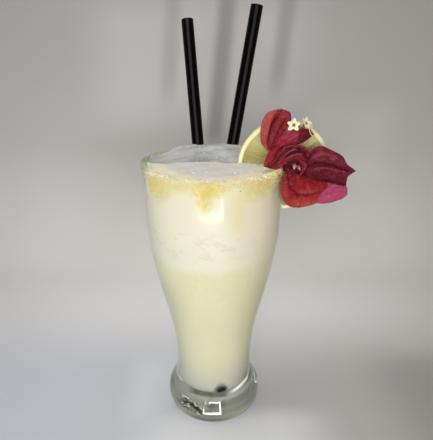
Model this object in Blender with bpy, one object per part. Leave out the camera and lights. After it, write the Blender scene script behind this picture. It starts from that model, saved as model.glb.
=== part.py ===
"""A footed glass of frothy lemonade with a sugared rim, two straws, a citrus wheel and a bract flower.

Metres, +Z up. The origin is the centre of the flat underside of the glass. The drink is seen from -Y,
the straws lean back towards +Y, and the wheel and the flower sit on the rim at +X.
Sizes are written in millimetres, and scaled once as each mesh is made.
"""

import math

import bmesh
import bpy
from mathutils import Vector

MM = 0.001
GAP = 0.3
# Steps of a curve that is only looked up, never built
FINE_STEPS = 200

# Glass
GLASS_HEIGHT = 179.5
GLASS_SIDES = 48
OUTSIDE_STEPS = 15
INSIDE_STEPS = 13
FOOT_FLAT_RADIUS = 25.6
FOOT_RADIUS = 32.6
FOOT_WIDEST_AT = 11.5
FOOT_ARC_STEPS = 4
# Height and radius up the outside, from the widest part of the foot to the rim
OUTSIDE = (
    (11.5, 32.6),
    (16.4, 31.9),
    (21.6, 29.2),
    (28.0, 26.5),
    (37.0, 25.6),
    (52.0, 26.5),
    (70.0, 29.1),
    (93.5, 34.6),
    (121.0, 40.3),
    (148.0, 43.2),
    (179.5, 42.8),
)
# Height and radius of the hollow, from the bottom of the bowl to the rim
INSIDE = (
    (19.0, 0.0),
    (19.7, 9.0),
    (22.2, 15.6),
    (26.5, 19.4),
    (33.0, 20.9),
    (46.0, 21.9),
    (66.0, 25.2),
    (93.5, 32.0),
    (121.0, 38.0),
    (148.0, 41.0),
    (179.5, 40.9),
)

# Drink
LEMONADE_LEVEL = 121.5
FROTH_EDGE = 177.4
FROTH_CROWN = 1.6
FROTH_LUMP = 0.35
FROTH_STEP = 14.0
FROTH_SIDE_RINGS = 4
FROTH_RINGS = 7
DRINK_SIDES = 36
# The drink keeps a little more than the gap to the wall, because its sides are flatter than the glass's
DRINK_GAP = 1.2 * GAP
LEAST_STEP = 3.0

# Straws: where the axis crosses the height of the rim, its lean for each millimetre of height,
# the height of its lower end, and its length
STRAW_RADIUS = 4.0
STRAW_WALL = 0.5
STRAW_SIDES = 20
STRAWS = {
    "straw_left": ((-10.4, 33.6), (-0.0885, 0.3176), 27.0, 246.0),
    "straw_right": ((12.3, 33.0), (0.1743, 0.195), 29.0, 248.0),
}

# Citrus wheel, which stands on the rim in a slit of its own
WHEEL_RADIUS = 28.0
WHEEL_THICKNESS = 5.0
WHEEL_CENTRE = (42.8, 0.0, 177.1)
WHEEL_SEGMENTS = 9
WHEEL_STEPS = 6
WHEEL_RIND = 1.3
WHEEL_PITH = 2.6
SEGMENT_DIP = 0.45
# Rings of a face, as shares of the radius of the pulp, and how the edge is rounded
PULP_RINGS = (0.12, 0.35, 0.65, 0.88, 1.0)
EDGE_ROUNDING = 0.35
EDGE_SHARE = 0.72
SLIT_TOP = 180.4
SLIT_FROM = 40.4
SLIT_TO = 43.4

# Sugar and syrup on the rim: the crust's top, outer radius and foot, the usual edge of the syrup
# below it with its thickness, how far crystals stand out, and half the opening for the wheel in degrees
SUGAR_STEPS = 104
SUGAR_TOP = 180.9
SUGAR_SHOULDER = 0.5
SUGAR_RADIUS = 44.2
SUGAR_FOOT = 174.6
SUGAR_LIP = 0.1
SUGAR_GRAIN = 0.45
SUGAR_BREAK = 4.6
SYRUP_FOOT = 170.5
SYRUP_THICKNESS = 0.5
SYRUP_EDGE = 0.7
# Drips: the angle round the glass from +X, the half width as an angle, and how far each runs down
DRIPS = (
    (-94.0, 6.0, 9.5),
    (-146.0, 5.0, 6.0),
    (-52.0, 9.0, 4.0),
    (-70.0, 6.0, 3.0),
    (-118.0, 7.0, 4.5),
    (172.0, 8.0, 4.0),
    (140.0, 6.0, 6.0),
    (98.0, 9.0, 4.0),
    (62.0, 6.0, 7.0),
    (28.0, 7.0, 4.0),
)

# Sprig that carries the bracts
STEM_RADIUS = 1.1
BRANCH_RADIUS = 0.9
STEM_SIDES = 8
STEM_STEPS = 14
STEM_ROUTE = (
    (31.0, -6.0, 158.0),
    (33.0, -6.2, 170.0),
    (35.6, -6.8, 180.5),
    (39.6, -8.2, 184.6),
    (44.4, -10.0, 184.2),
    (48.2, -11.0, 180.6),
)
BRANCH_ROUTE = (
    (42.6, -9.3, 184.6),
    (41.2, -8.8, 187.4),
    (39.4, -8.2, 190.4),
)
# The swollen nodes that the bracts spring from: middle and radius
STEM_NODES = (
    ((39.2, -8.2, 190.8), 1.9),
    ((48.2, -10.8, 179.9), 2.0),
)

# Bracts: spine points from base to tip with the half width there, then how far both sides come forward,
# how far one side alone does, and the edge's wave
BRACT_THICKNESS = 0.55
BRACT_THIN_EDGE = 0.55
BRACT_LENGTH_STEPS = 10
BRACT_WIDTH_STEPS = 6
VIEWER_WAY = (0.0, -0.95, 0.31)
# The curl swells from near the base to near the tip, and the edge ruffles along the bract
SWELL_FROM = 0.15
SWELL_SPAN = 0.8
RUFFLE_ALONG = 9.0
RUFFLE_ACROSS = 2.0
SMALL_STEP = 0.01
BRACTS = {
    "bract_upper_left": (
        (
            (36.4, -9.4, 190.2, 1.4),
            (33.2, -12.0, 194.6, 4.6),
            (33.6, -13.4, 200.4, 6.8),
            (35.8, -12.8, 206.2, 8.2),
            (37.0, -11.2, 210.8, 6.2),
        ),
        -1.6,
        0.6,
        0.5,
    ),
    "bract_upper_right": (
        (
            (41.0, -10.8, 191.8, 1.6),
            (43.0, -15.2, 196.0, 4.8),
            (46.8, -17.0, 197.7, 5.1),
            (52.2, -15.6, 198.4, 3.8),
            (57.6, -12.6, 198.7, 0.7),
        ),
        -1.0,
        -1.2,
        0.4,
    ),
    "bract_left": (
        (
            (46.4, -14.6, 181.0, 1.2),
            (44.6, -18.6, 183.9, 3.0),
            (40.8, -22.0, 186.4, 5.0),
            (36.8, -23.6, 187.3, 6.2),
            (32.6, -24.2, 187.3, 6.2),
            (29.4, -24.2, 186.2, 4.6),
        ),
        -0.6,
        -0.6,
        0.3,
    ),
    "bract_hood": (
        (
            (48.4, -12.4, 182.8, 3.6),
            (48.2, -12.8, 185.6, 8.2),
            (47.6, -14.2, 188.6, 9.6),
            (47.0, -16.4, 191.2, 8.8),
            (46.8, -18.4, 192.8, 6.0),
        ),
        0.8,
        0.0,
        0.4,
    ),
    "bract_right": (
        (
            (50.8, -13.4, 181.0, 1.4),
            (52.6, -17.6, 181.4, 4.4),
            (56.4, -20.0, 182.2, 8.0),
            (62.6, -20.6, 182.4, 9.8),
            (70.0, -18.8, 180.9, 9.6),
            (77.6, -15.8, 178.2, 7.4),
            (84.4, -13.0, 176.8, 0.7),
        ),
        -1.4,
        0.0,
        0.5,
    ),
    "bract_lower_right": (
        (
            (49.8, -11.6, 177.4, 1.4),
            (51.6, -12.2, 172.2, 2.4),
            (55.4, -12.8, 167.4, 3.4),
            (61.6, -13.8, 163.8, 4.8),
            (68.6, -14.2, 163.8, 5.8),
            (75.0, -13.6, 165.8, 5.6),
            (80.6, -12.6, 167.4, 2.6),
        ),
        0.8,
        0.0,
        0.3,
    ),
    "bract_lower": (
        (
            (48.2, -13.6, 178.0, 2.2),
            (49.0, -17.0, 176.8, 7.4),
            (49.9, -20.4, 173.8, 11.0),
            (50.0, -23.2, 169.8, 12.1),
            (50.0, -24.4, 165.4, 11.4),
            (50.5, -24.4, 161.6, 10.0),
            (50.6, -23.8, 158.9, 7.4),
        ),
        0.2,
        3.4,
        0.5,
    ),
}

# Small star flowers: the middle of the star, the way it faces, and where its tube starts
FLOWER_SIDES = 10
STAR_SPREAD = 3.9
STAR_NOTCH = 2.1
STAR_THROAT = 0.3
TUBE_RADIUS = 0.95
# Rings of a tube and of a bud: share of the length and of the radius
TUBE_SECTIONS = ((0.0, 0.5), (0.35, 1.0), (0.8, 0.8), (1.0, 1.2))
BUD_SECTIONS = ((0.0, 0.5), (0.45, 1.0), (0.85, 0.75), (1.0, 0.3))
# Rings of a star: height above its middle, radius of the lobes and radius of the notches
STAR_SECTIONS = ((0.0, STAR_SPREAD, STAR_NOTCH), (0.7, 0.97 * STAR_SPREAD, 0.9 * STAR_NOTCH), (0.5, 1.3, 1.1))
STARS = {
    "star_flower_left": ((44.6, -16.2, 205.8), (-0.15, -0.85, 0.5), (43.0, -8.4, 194.0)),
    "star_flower_right": ((51.4, -12.6, 205.6), (0.2, -0.75, 0.6), (44.6, -7.4, 194.4)),
    "star_flower_edge": ((57.0, -9.6, 202.8), (0.9, -0.25, 0.3), (45.6, -7.0, 191.6)),
}
BUD_RADIUS = 1.1
BUDS = {
    "bud_long": ((46.4, -20.0, 180.2), (47.6, -14.4, 181.6)),
    "bud_short": ((50.0, -18.8, 179.4), (49.6, -14.2, 180.4)),
}


def clear_scene():
    """Removes whatever the scene holds."""
    for old in list(bpy.data.objects):
        bpy.data.objects.remove(old, do_unlink=True)


def material(name, colour, roughness, metallic=0.0):
    """A Principled material of one colour."""
    made = bpy.data.materials.new(name)
    made.use_nodes = True
    shader = made.node_tree.nodes["Principled BSDF"]
    shader.inputs["Base Color"].default_value = (*colour, 1.0)
    shader.inputs["Roughness"].default_value = roughness
    shader.inputs["Metallic"].default_value = metallic
    return made


def add_object(name, points, faces, finish, smooth_angle=40.0):
    """A mesh object from points in millimetres, with its faces turned outwards."""
    mesh = bpy.data.meshes.new(name)
    mesh.from_pydata([Vector(p) * MM for p in points], [], faces)
    shape = bmesh.new()
    shape.from_mesh(mesh)
    bmesh.ops.recalc_face_normals(shape, faces=shape.faces)
    shape.to_mesh(mesh)
    shape.free()
    mesh.shade_smooth()
    mesh.set_sharp_from_angle(angle=math.radians(smooth_angle))
    mesh.materials.append(finish)
    made = bpy.data.objects.new(name, mesh)
    bpy.context.collection.objects.link(made)
    return made


def as_cutter(thing):
    """Marks an object as a shape that only cuts or joins another."""
    thing.hide_render = True
    thing.display_type = "WIRE"
    return thing


def boolean(thing, other, operation="DIFFERENCE"):
    """Adds an exact Boolean that keeps no copy of the other shape."""
    step = thing.modifiers.new(other.name, "BOOLEAN")
    step.operation = operation
    step.solver = "EXACT"
    step.object = other


def between(points, place):
    """A point on the smooth curve through the given points, at a place from 0 to 1."""
    last = len(points) - 1
    span = min(int(place * last), last - 1)
    t = place * last - span
    p1 = points[span]
    p2 = points[span + 1]
    p0 = points[span - 1] if span > 0 else [2 * a - b for a, b in zip(p1, p2)]
    p3 = points[span + 2] if span + 2 <= last else [2 * b - a for a, b in zip(p1, p2)]
    return tuple(
        0.5 * (2 * b + (c - a) * t + (2 * a - 5 * b + 4 * c - d) * t * t + (3 * b - a - 3 * c + d) * t**3)
        for a, b, c, d in zip(p0, p1, p2, p3)
    )


def smooth_curve(points, steps):
    """Points at even steps along the smooth curve through the given ones."""
    return [between(points, i / steps) for i in range(steps + 1)]


def turned(name, section, sides, finish):
    """A solid of revolution from (height, radius) pairs that start and end on the axis."""
    points, rings = [], []
    for height, radius in section:
        if radius < 1e-6:
            rings.append([len(points)])
            points.append((0.0, 0.0, height))
            continue
        rings.append(list(range(len(points), len(points) + sides)))
        for k in range(sides):
            angle = 2 * math.pi * k / sides
            points.append((radius * math.cos(angle), radius * math.sin(angle), height))
    faces = []
    for low, high in zip(rings, rings[1:]):
        for k in range(sides):
            n = (k + 1) % sides
            loop = [low[k % len(low)], low[n % len(low)], high[n % len(high)], high[k % len(high)]]
            faces.append(list(dict.fromkeys(loop)))
    return add_object(name, points, faces, finish)


def tube(name, route, radius, sides, finish):
    """A round bar with flat ends along a route, with its rings square to it."""
    points, faces = [], []
    path = [Vector(p) for p in route]
    side = Vector((1.0, 0.0, 0.0))
    for i, here in enumerate(path):
        way = (path[min(i + 1, len(path) - 1)] - path[max(i - 1, 0)]).normalized()
        side = (side - way * side.dot(way)).normalized()
        other = way.cross(side)
        for k in range(sides):
            angle = 2 * math.pi * k / sides
            points.append(here + (side * math.cos(angle) + other * math.sin(angle)) * radius)
    for i in range(len(path) - 1):
        for k in range(sides):
            n = (k + 1) % sides
            a, b = i * sides, (i + 1) * sides
            faces.append([a + k, a + n, b + n, b + k])
    faces.append(list(range(sides)))
    faces.append(list(range((len(path) - 1) * sides, len(path) * sides)))
    return add_object(name, points, faces, finish)


def inside_radius(height):
    """The radius of the hollow of the glass at a height."""
    section = smooth_curve(INSIDE, FINE_STEPS)
    for (z0, r0), (z1, r1) in zip(section, section[1:]):
        if z0 <= height <= z1:
            return r0 + (r1 - r0) * (height - z0) / (z1 - z0)
    return section[-1][1]


def make_glass():
    """The glass: a heavy foot, a waist and a tall flared bowl."""
    foot = []
    for i in range(FOOT_ARC_STEPS):
        angle = 0.5 * math.pi * i / FOOT_ARC_STEPS
        radius = FOOT_FLAT_RADIUS + (FOOT_RADIUS - FOOT_FLAT_RADIUS) * math.sin(angle)
        foot.append((FOOT_WIDEST_AT * (1 - math.cos(angle)), radius))
    outside = smooth_curve(OUTSIDE, OUTSIDE_STEPS)
    inside = smooth_curve(INSIDE, INSIDE_STEPS)
    inside[0] = (INSIDE[0][0], 0.0)
    section = [(0.0, 0.0), *foot, *outside, *reversed(inside)]
    clear = material("clear_glass", (0.86, 0.88, 0.84), 0.03)
    turned("glass", section, GLASS_SIDES, clear)


def froth_top(x, y):
    """The height of the lumpy top of the froth."""
    reach = inside_radius(FROTH_EDGE)
    crown = FROTH_CROWN * (1 - (x * x + y * y) / reach**2)
    lumps = math.sin(0.31 * x + 1.3) * math.cos(0.27 * y - 0.4) + math.sin(0.53 * y - 0.21 * x)
    return FROTH_EDGE + crown + FROTH_LUMP * lumps


def make_lemonade(cutters):
    """The drink below the froth, cut round the straws."""
    full = [p for p in smooth_curve(INSIDE, INSIDE_STEPS) if p[0] < LEMONADE_LEVEL - LEAST_STEP]
    section = [(INSIDE[0][0] + GAP, 0.0)]
    section += [(z + 0.4 * GAP, r - DRINK_GAP) for z, r in full[1:]]
    section += [(LEMONADE_LEVEL, inside_radius(LEMONADE_LEVEL) - DRINK_GAP), (LEMONADE_LEVEL, 0.0)]
    finish = material("cloudy_lemonade", (0.78, 0.74, 0.52), 0.25)
    drink = turned("lemonade", section, DRINK_SIDES, finish)
    for cutter in cutters:
        boolean(drink, cutter)


def make_froth(cutters):
    """The froth and fine ice that fills the glass up to its rim, with a lumpy top."""
    points, faces, rings = [], [], []
    low = LEMONADE_LEVEL + GAP
    heights = [low + FROTH_STEP * i for i in range(FROTH_SIDE_RINGS)]
    outline = [(z, inside_radius(z) - DRINK_GAP) for z in heights]
    angles = [2 * math.pi * k / DRINK_SIDES for k in range(DRINK_SIDES)]
    for z, radius in outline:
        rings.append([(radius * math.cos(a), radius * math.sin(a), z) for a in angles])
    reach = inside_radius(FROTH_EDGE) - DRINK_GAP
    for i in range(FROTH_RINGS):
        radius = reach * (1 - i / FROTH_RINGS)
        spots = [(radius * math.cos(a), radius * math.sin(a)) for a in angles]
        rings.append([(x, y, froth_top(x, y)) for x, y in spots])
    for ring in rings:
        points.extend(ring)
    n = DRINK_SIDES
    for i in range(len(rings) - 1):
        for k in range(n):
            m = (k + 1) % n
            faces.append([i * n + k, i * n + m, (i + 1) * n + m, (i + 1) * n + k])
    faces.append(list(range(n)))
    top = len(points)
    points.append((0.0, 0.0, froth_top(0.0, 0.0)))
    last = (len(rings) - 1) * n
    for k in range(n):
        faces.append([last + k, last + (k + 1) % n, top])
    froth = add_object("froth", points, faces, material("froth_cream", (0.86, 0.83, 0.72), 0.5))
    for cutter in cutters:
        boolean(froth, cutter)


def straw_ends(spec, extra=0.0):
    """The two ends of a straw's axis, each moved out by a little extra."""
    (x, y), (lean_x, lean_y), low, length = spec
    way = Vector((lean_x, lean_y, 1.0)).normalized()
    start = Vector((x + lean_x * (low - GLASS_HEIGHT), y + lean_y * (low - GLASS_HEIGHT), low))
    return start - way * extra, start + way * (length + extra)


def make_straws():
    """Two open drinking straws, and the cutters that make room for them."""
    black = material("straw_black", (0.014, 0.013, 0.013), 0.35)
    cutters = []
    for name, spec in STRAWS.items():
        start, end = straw_ends(spec)
        straw = tube(name, (start, end), STRAW_RADIUS, STRAW_SIDES, black)
        bore = tube(name + "_bore", straw_ends(spec, 2.0), STRAW_RADIUS - STRAW_WALL, STRAW_SIDES, black)
        boolean(straw, as_cutter(bore))
        reach = straw_ends(spec, GAP)
        cutters.append(as_cutter(tube(name + "_room", reach, STRAW_RADIUS + GAP, STRAW_SIDES, black)))
    return cutters


def wheel_face(radius, angle):
    """How far a face of the wheel stands out: pulp sinks between the rays and inside the pith."""
    inner = WHEEL_RADIUS - WHEEL_RIND - WHEEL_PITH
    across = math.sin(0.5 * WHEEL_SEGMENTS * angle) ** 2
    along = max(0.0, math.sin(math.pi * min(1.0, radius / inner)))
    return 0.5 * WHEEL_THICKNESS - SEGMENT_DIP * across**0.5 * along


def make_wheel():
    """The citrus wheel: rind, pith and sunken segments, slit from its edge to stand on the rim."""
    sides = WHEEL_SEGMENTS * WHEEL_STEPS
    inner = WHEEL_RADIUS - WHEEL_RIND - WHEEL_PITH
    radii = [*(share * inner for share in PULP_RINGS), WHEEL_RADIUS - WHEEL_RIND]
    half = 0.5 * WHEEL_THICKNESS
    angles = [2 * math.pi * k / sides for k in range(sides)]
    front = [[(r * math.cos(a), -wheel_face(r, a), r * math.sin(a)) for a in angles] for r in radii]
    back = [[(x, -y, z) for x, y, z in ring] for ring in reversed(front)]
    rounded = WHEEL_RADIUS - EDGE_ROUNDING
    turns = ((rounded, -EDGE_SHARE * half), (WHEEL_RADIUS, 0.0), (rounded, EDGE_SHARE * half))
    edge = [[(r * math.cos(a), y, r * math.sin(a)) for a in angles] for r, y in turns]
    rings = [*front, *edge, *back]
    points = [(0.0, -half, 0.0), *(p for ring in rings for p in ring), (0.0, half, 0.0)]
    faces = []
    for k in range(sides):
        m = (k + 1) % sides
        faces.append([0, 1 + k, 1 + m])
        faces.append([len(points) - 1, 1 + (len(rings) - 1) * sides + m, 1 + (len(rings) - 1) * sides + k])
        for i in range(len(rings) - 1):
            a, b = 1 + i * sides, 1 + (i + 1) * sides
            faces.append([a + k, a + m, b + m, b + k])
    cx, cy, cz = WHEEL_CENTRE
    placed = [(x + cx, y + cy, z + cz) for x, y, z in points]
    finish = material("citrus_flesh", (0.52, 0.42, 0.14), 0.35)
    wheel = add_object("citrus_wheel", placed, faces, finish, 60.0)
    bottom = cz - WHEEL_RADIUS - WHEEL_THICKNESS
    low, high = (SLIT_FROM, -WHEEL_THICKNESS, bottom), (SLIT_TO, WHEEL_THICKNESS, SLIT_TOP)
    slit = block("wheel_slit", low, high, finish)
    boolean(wheel, as_cutter(slit))
    axle = ((cx, cy - half - GAP, cz), (cx, cy + half + GAP, cz))
    return as_cutter(tube("wheel_room", axle, WHEEL_RADIUS + GAP, sides, finish))


def ball(name, middle, radius, finish):
    """A small faceted ball."""
    shape = bmesh.new()
    bmesh.ops.create_icosphere(shape, subdivisions=2, radius=radius)
    points = [Vector(middle) + vert.co for vert in shape.verts]
    faces = [[vert.index for vert in face.verts] for face in shape.faces]
    shape.free()
    return add_object(name, points, faces, finish)


def block(name, low, high, finish):
    """A box between two corners."""
    corners = [(x, y, z) for x in (low[0], high[0]) for y in (low[1], high[1]) for z in (low[2], high[2])]
    faces = [(0, 1, 3, 2), (4, 6, 7, 5), (0, 4, 5, 1), (2, 3, 7, 6), (0, 2, 6, 4), (1, 5, 7, 3)]
    return add_object(name, corners, faces, finish)


def drip_reach(angle):
    """How far below its usual edge the syrup runs at an angle in degrees."""
    reach = 0.0
    for middle, half_width, length in DRIPS:
        off = (angle - middle + 180.0) % 360.0 - 180.0
        reach = max(reach, length * math.exp(-((off / half_width) ** 2)))
    return reach


def grain(step, ring):
    """A repeatable rough height from -1 to 1 for a crystal of the crust."""
    return math.sin(12.9898 * step + 78.233 * ring) * math.cos(4.1414 * step - 26.651 * ring)


def make_sugar_rim():
    """The crust of sugar and syrup that sits over the rim, open where the wheel stands."""
    outside = dict(smooth_curve(OUTSIDE, FINE_STEPS))
    top_radius = 0.5 * (OUTSIDE[-1][1] + INSIDE[-1][1])
    lip = INSIDE[-1][1] + SUGAR_LIP

    def wall(height):
        return min(outside.items(), key=lambda item: abs(item[0] - height))[1] + GAP

    points, faces = [], []
    ring_size = 0
    for step in range(SUGAR_STEPS + 1):
        degrees = SUGAR_BREAK + (360.0 - 2 * SUGAR_BREAK) * step / SUGAR_STEPS
        angle = math.radians(degrees)
        foot = SYRUP_FOOT - drip_reach(degrees)
        rough = [SUGAR_GRAIN * grain(step, ring) for ring in range(7)]
        section = [
            (lip, GLASS_HEIGHT + GAP),
            (lip + 0.5 * rough[0], SUGAR_TOP - SUGAR_SHOULDER),
            (top_radius, SUGAR_TOP + rough[1]),
            (SUGAR_RADIUS - SUGAR_SHOULDER, SUGAR_TOP - SUGAR_SHOULDER + rough[2]),
            (SUGAR_RADIUS + rough[3], 0.6 * SUGAR_TOP + 0.4 * SUGAR_FOOT),
            (SUGAR_RADIUS + rough[4], SUGAR_FOOT + rough[5]),
            (wall(SYRUP_FOOT) + SYRUP_THICKNESS + 0.4 * rough[6], SYRUP_FOOT),
            (wall(foot) + SYRUP_THICKNESS, foot + SYRUP_EDGE),
            (wall(foot), foot),
            (wall(SUGAR_FOOT), SUGAR_FOOT),
            (OUTSIDE[-1][1] + GAP, GLASS_HEIGHT + GAP),
        ]
        ring_size = len(section)
        points.extend((r * math.cos(angle), r * math.sin(angle), z) for r, z in section)
    for step in range(SUGAR_STEPS):
        for i in range(ring_size):
            n = (i + 1) % ring_size
            a, b = step * ring_size, (step + 1) * ring_size
            faces.append([a + i, a + n, b + n])
            faces.append([a + i, b + n, b + i])
    faces.append(list(range(ring_size)))
    faces.append(list(range(SUGAR_STEPS * ring_size, (SUGAR_STEPS + 1) * ring_size)))
    add_object("sugar_rim", points, faces, material("sugar_crust", (0.80, 0.68, 0.38), 0.4), 20.0)


def make_stem():
    """The green stem, hooked over the rim into the froth, with the branch of the upper bracts."""
    green = material("stem_green", (0.16, 0.22, 0.07), 0.5)
    stem = tube("stem", smooth_curve(STEM_ROUTE, STEM_STEPS), STEM_RADIUS, STEM_SIDES, green)
    branch = tube("stem_branch", smooth_curve(BRANCH_ROUTE, 4), BRANCH_RADIUS, STEM_SIDES, green)
    boolean(stem, as_cutter(branch), "UNION")
    for middle, radius in STEM_NODES:
        boolean(stem, as_cutter(ball("stem_node", middle, radius, green)), "UNION")
    route = [Vector(p) for p in smooth_curve(STEM_ROUTE, STEM_STEPS)]
    route[0] += (route[0] - route[1]).normalized() * GAP
    return as_cutter(tube("stem_room", route, STEM_RADIUS + GAP, STEM_SIDES, green))


def bract_surface(spec, along, across):
    """A point of a bract's middle surface: along runs from base to tip, across from -1 to 1."""
    spine, cup, lean, wave = spec
    x, y, z, half_width = between(spine, along)
    ahead = between(spine, min(1.0, along + 2 * SMALL_STEP))
    behind = between(spine, max(0.0, along - 2 * SMALL_STEP))
    way = Vector([a - b for a, b in zip(ahead[:3], behind[:3])]).normalized()
    chord = Vector(spine[-1][:3]) - Vector(spine[0][:3])
    side = chord.cross(Vector(VIEWER_WAY))
    side = (side - way * side.dot(way)).normalized()
    facing = side.cross(way)
    swell = math.sin(math.pi * (SWELL_FROM + SWELL_SPAN * along))
    ruffle = wave * math.sin(RUFFLE_ALONG * along + RUFFLE_ACROSS * across) * abs(across)
    out = swell * (cup * across * across + lean * across) + ruffle
    return Vector((x, y, z)) + side * (half_width * across) + facing * out


def make_bract(name, spec, finish):
    """A thin wavy leaf whose two faces are split into triangles alike."""
    rows, columns = BRACT_LENGTH_STEPS, BRACT_WIDTH_STEPS
    middle, shift = [], []
    for i in range(rows + 1):
        for j in range(columns + 1):
            u, v = i / rows, 2 * j / columns - 1
            ahead = bract_surface(spec, min(1.0, u + SMALL_STEP), v)
            along_step = ahead - bract_surface(spec, max(0.0, u - SMALL_STEP), v)
            across_step = bract_surface(spec, u, v + SMALL_STEP) - bract_surface(spec, u, v - SMALL_STEP)
            middle.append(bract_surface(spec, u, v))
            thin = 1.0 - BRACT_THIN_EDGE * abs(v) ** 3
            shift.append(along_step.cross(across_step).normalized() * (0.5 * BRACT_THICKNESS * thin))
    points = [m + s for m, s in zip(middle, shift)] + [m - s for m, s in zip(middle, shift)]
    under = len(middle)
    width = columns + 1
    faces = []
    for i in range(rows):
        for j in range(columns):
            a = i * width + j
            b, c, d = a + 1, a + width + 1, a + width
            faces += [[a, b, c], [a, c, d]]
            faces += [[under + c, under + b, under + a], [under + d, under + c, under + a]]
    rim = list(range(columns))
    rim += [i * width + columns for i in range(rows)]
    rim += [rows * width + j for j in range(columns, 0, -1)]
    rim += [i * width for i in range(rows, 0, -1)]
    for here, there in zip(rim, rim[1:] + rim[:1]):
        faces += [[here, there, under + there], [here, under + there, under + here]]
    add_object(name, points, faces, finish)


def make_bracts():
    """The papery coloured bracts of both clusters."""
    for name, spec in BRACTS.items():
        warm = name in ("bract_lower", "bract_upper_left", "bract_left")
        colour = (0.30, 0.035, 0.03) if warm else (0.26, 0.03, 0.075)
        make_bract(name, spec, material(name + "_finish", colour, 0.55))


def flower_ring(middle, way, wide, narrow):
    """Ten points round an axis, at two radii in turn."""
    side = way.orthogonal().normalized()
    other = way.cross(side)
    ring = []
    for k in range(FLOWER_SIDES):
        radius = wide if k % 2 == 0 else narrow
        angle = 2 * math.pi * k / FLOWER_SIDES
        ring.append(middle + (side * math.cos(angle) + other * math.sin(angle)) * radius)
    return ring


def flower_body(name, start, rings, end, finish):
    """A closed body from a start point through rings of ten points to an end point."""
    points = [start, *(p for ring in rings for p in ring), end]
    last = len(points) - 1
    faces = []
    for k in range(FLOWER_SIDES):
        m = (k + 1) % FLOWER_SIDES
        faces.append([0, 1 + k, 1 + m])
        faces.append([last, last - FLOWER_SIDES + m, last - FLOWER_SIDES + k])
        for i in range(len(rings) - 1):
            a, b = 1 + i * FLOWER_SIDES, 1 + (i + 1) * FLOWER_SIDES
            faces.append([a + k, a + m, b + m])
            faces.append([a + k, b + m, b + k])
    add_object(name, points, faces, finish)


def make_small_flowers():
    """The cream stars on their tubes, and the closed buds in the middle of the lower cluster."""
    cream = material("star_cream", (0.74, 0.62, 0.42), 0.5)
    pink = material("bud_pink", (0.35, 0.12, 0.12), 0.5)
    for name, (star, facing, root) in STARS.items():
        root, star, facing = Vector(root), Vector(star), Vector(facing).normalized()
        way = (star - root).normalized()
        neck = (star - root).length - TUBE_RADIUS
        rings = []
        for share, width in TUBE_SECTIONS:
            radius = width * TUBE_RADIUS
            rings.append(flower_ring(root + way * neck * share, way, radius, radius))
        for height, wide, narrow in STAR_SECTIONS:
            rings.append(flower_ring(star + facing * height, facing, wide, narrow))
        flower_body(name, root, rings, star + facing * STAR_THROAT, cream)
    for name, (tip, root) in BUDS.items():
        root, tip = Vector(root), Vector(tip)
        way = (tip - root).normalized()
        rings = []
        for share, width in BUD_SECTIONS:
            radius = width * BUD_RADIUS
            rings.append(flower_ring(root.lerp(tip, share), way, radius, radius))
        flower_body(name, root, rings, tip, pink)


def main():
    """Makes the glass and what stands in it, then the drink cut round them, then the rim and the flower."""
    clear_scene()
    make_glass()
    straw_rooms = make_straws()
    wheel_room = make_wheel()
    stem_room = make_stem()
    make_lemonade(straw_rooms)
    make_froth([*straw_rooms, wheel_room, stem_room])
    make_sugar_rim()
    make_bracts()
    make_small_flowers()


main()
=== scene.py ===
"""Looks of a footed glass of frothy lemonade: sugared rim, two straws, a citrus wheel and a bract flower.

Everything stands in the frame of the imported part, +Z up, with the drink seen from -Y and the wheel at +X.
The sizes of its pieces are millimetres, and each mesh is scaled to metres once, as it is made. The sizes
of the studio and its lamps are metres.
"""

import logging
import math
from collections.abc import Sequence
from dataclasses import dataclass
from enum import Enum

import bmesh
import bpy
import numpy as np
from mathutils import Matrix, Vector, noise


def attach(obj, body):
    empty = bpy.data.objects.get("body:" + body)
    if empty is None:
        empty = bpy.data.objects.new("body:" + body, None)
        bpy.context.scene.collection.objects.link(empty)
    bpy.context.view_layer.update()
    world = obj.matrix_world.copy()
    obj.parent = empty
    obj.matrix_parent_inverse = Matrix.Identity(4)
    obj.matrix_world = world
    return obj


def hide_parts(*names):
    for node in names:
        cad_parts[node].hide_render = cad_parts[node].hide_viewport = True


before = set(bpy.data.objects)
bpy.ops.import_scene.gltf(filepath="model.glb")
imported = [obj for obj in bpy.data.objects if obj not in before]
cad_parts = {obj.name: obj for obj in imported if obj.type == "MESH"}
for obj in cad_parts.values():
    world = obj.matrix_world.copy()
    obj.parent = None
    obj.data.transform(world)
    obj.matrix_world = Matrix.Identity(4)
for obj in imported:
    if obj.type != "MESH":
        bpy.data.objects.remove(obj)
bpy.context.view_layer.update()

MM = 0.001
BODY = "root"
LOG = logging.getLogger("lemonade")

Colour = tuple[float, float, float]
Points = Sequence[Sequence[float]]
Place = tuple[float, float, float]
Socket = bpy.types.NodeSocket
Material = bpy.types.Material
Object = bpy.types.Object


# Small helpers


def srgb(red: float, green: float, blue: float) -> Colour:
    """Turns a colour as the eye names it, from 0 to 255, into linear light from 0 to 1."""
    shares = [part / 255.0 for part in (red, green, blue)]
    return tuple(s / 12.92 if s <= 0.04045 else ((s + 0.055) / 1.055) ** 2.4 for s in shares)


def curve_at(stations: Points, places: np.ndarray | float) -> np.ndarray:
    """Reads the smooth curve through the stations.

    Args:
        stations: Points that the curve goes through, each with any number of values.
        places: Where to read it, from 0 at the first station to 1 at the last.

    Returns:
        One row of values for each place.
    """
    given = np.asarray(stations, float)
    last = len(given) - 1
    padded = np.vstack([2 * given[0] - given[1], given, 2 * given[-1] - given[-2]])
    reach = np.clip(np.asarray(places, float), 0.0, 1.0) * last
    span = np.minimum(reach.astype(int), last - 1)
    t = (reach - span)[..., None]
    a, b, c, d = (padded[span + i] for i in range(4))
    return 0.5 * (2 * b + (c - a) * t + (2 * a - 5 * b + 4 * c - d) * t**2 + (3 * b - a - 3 * c + d) * t**3)


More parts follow.
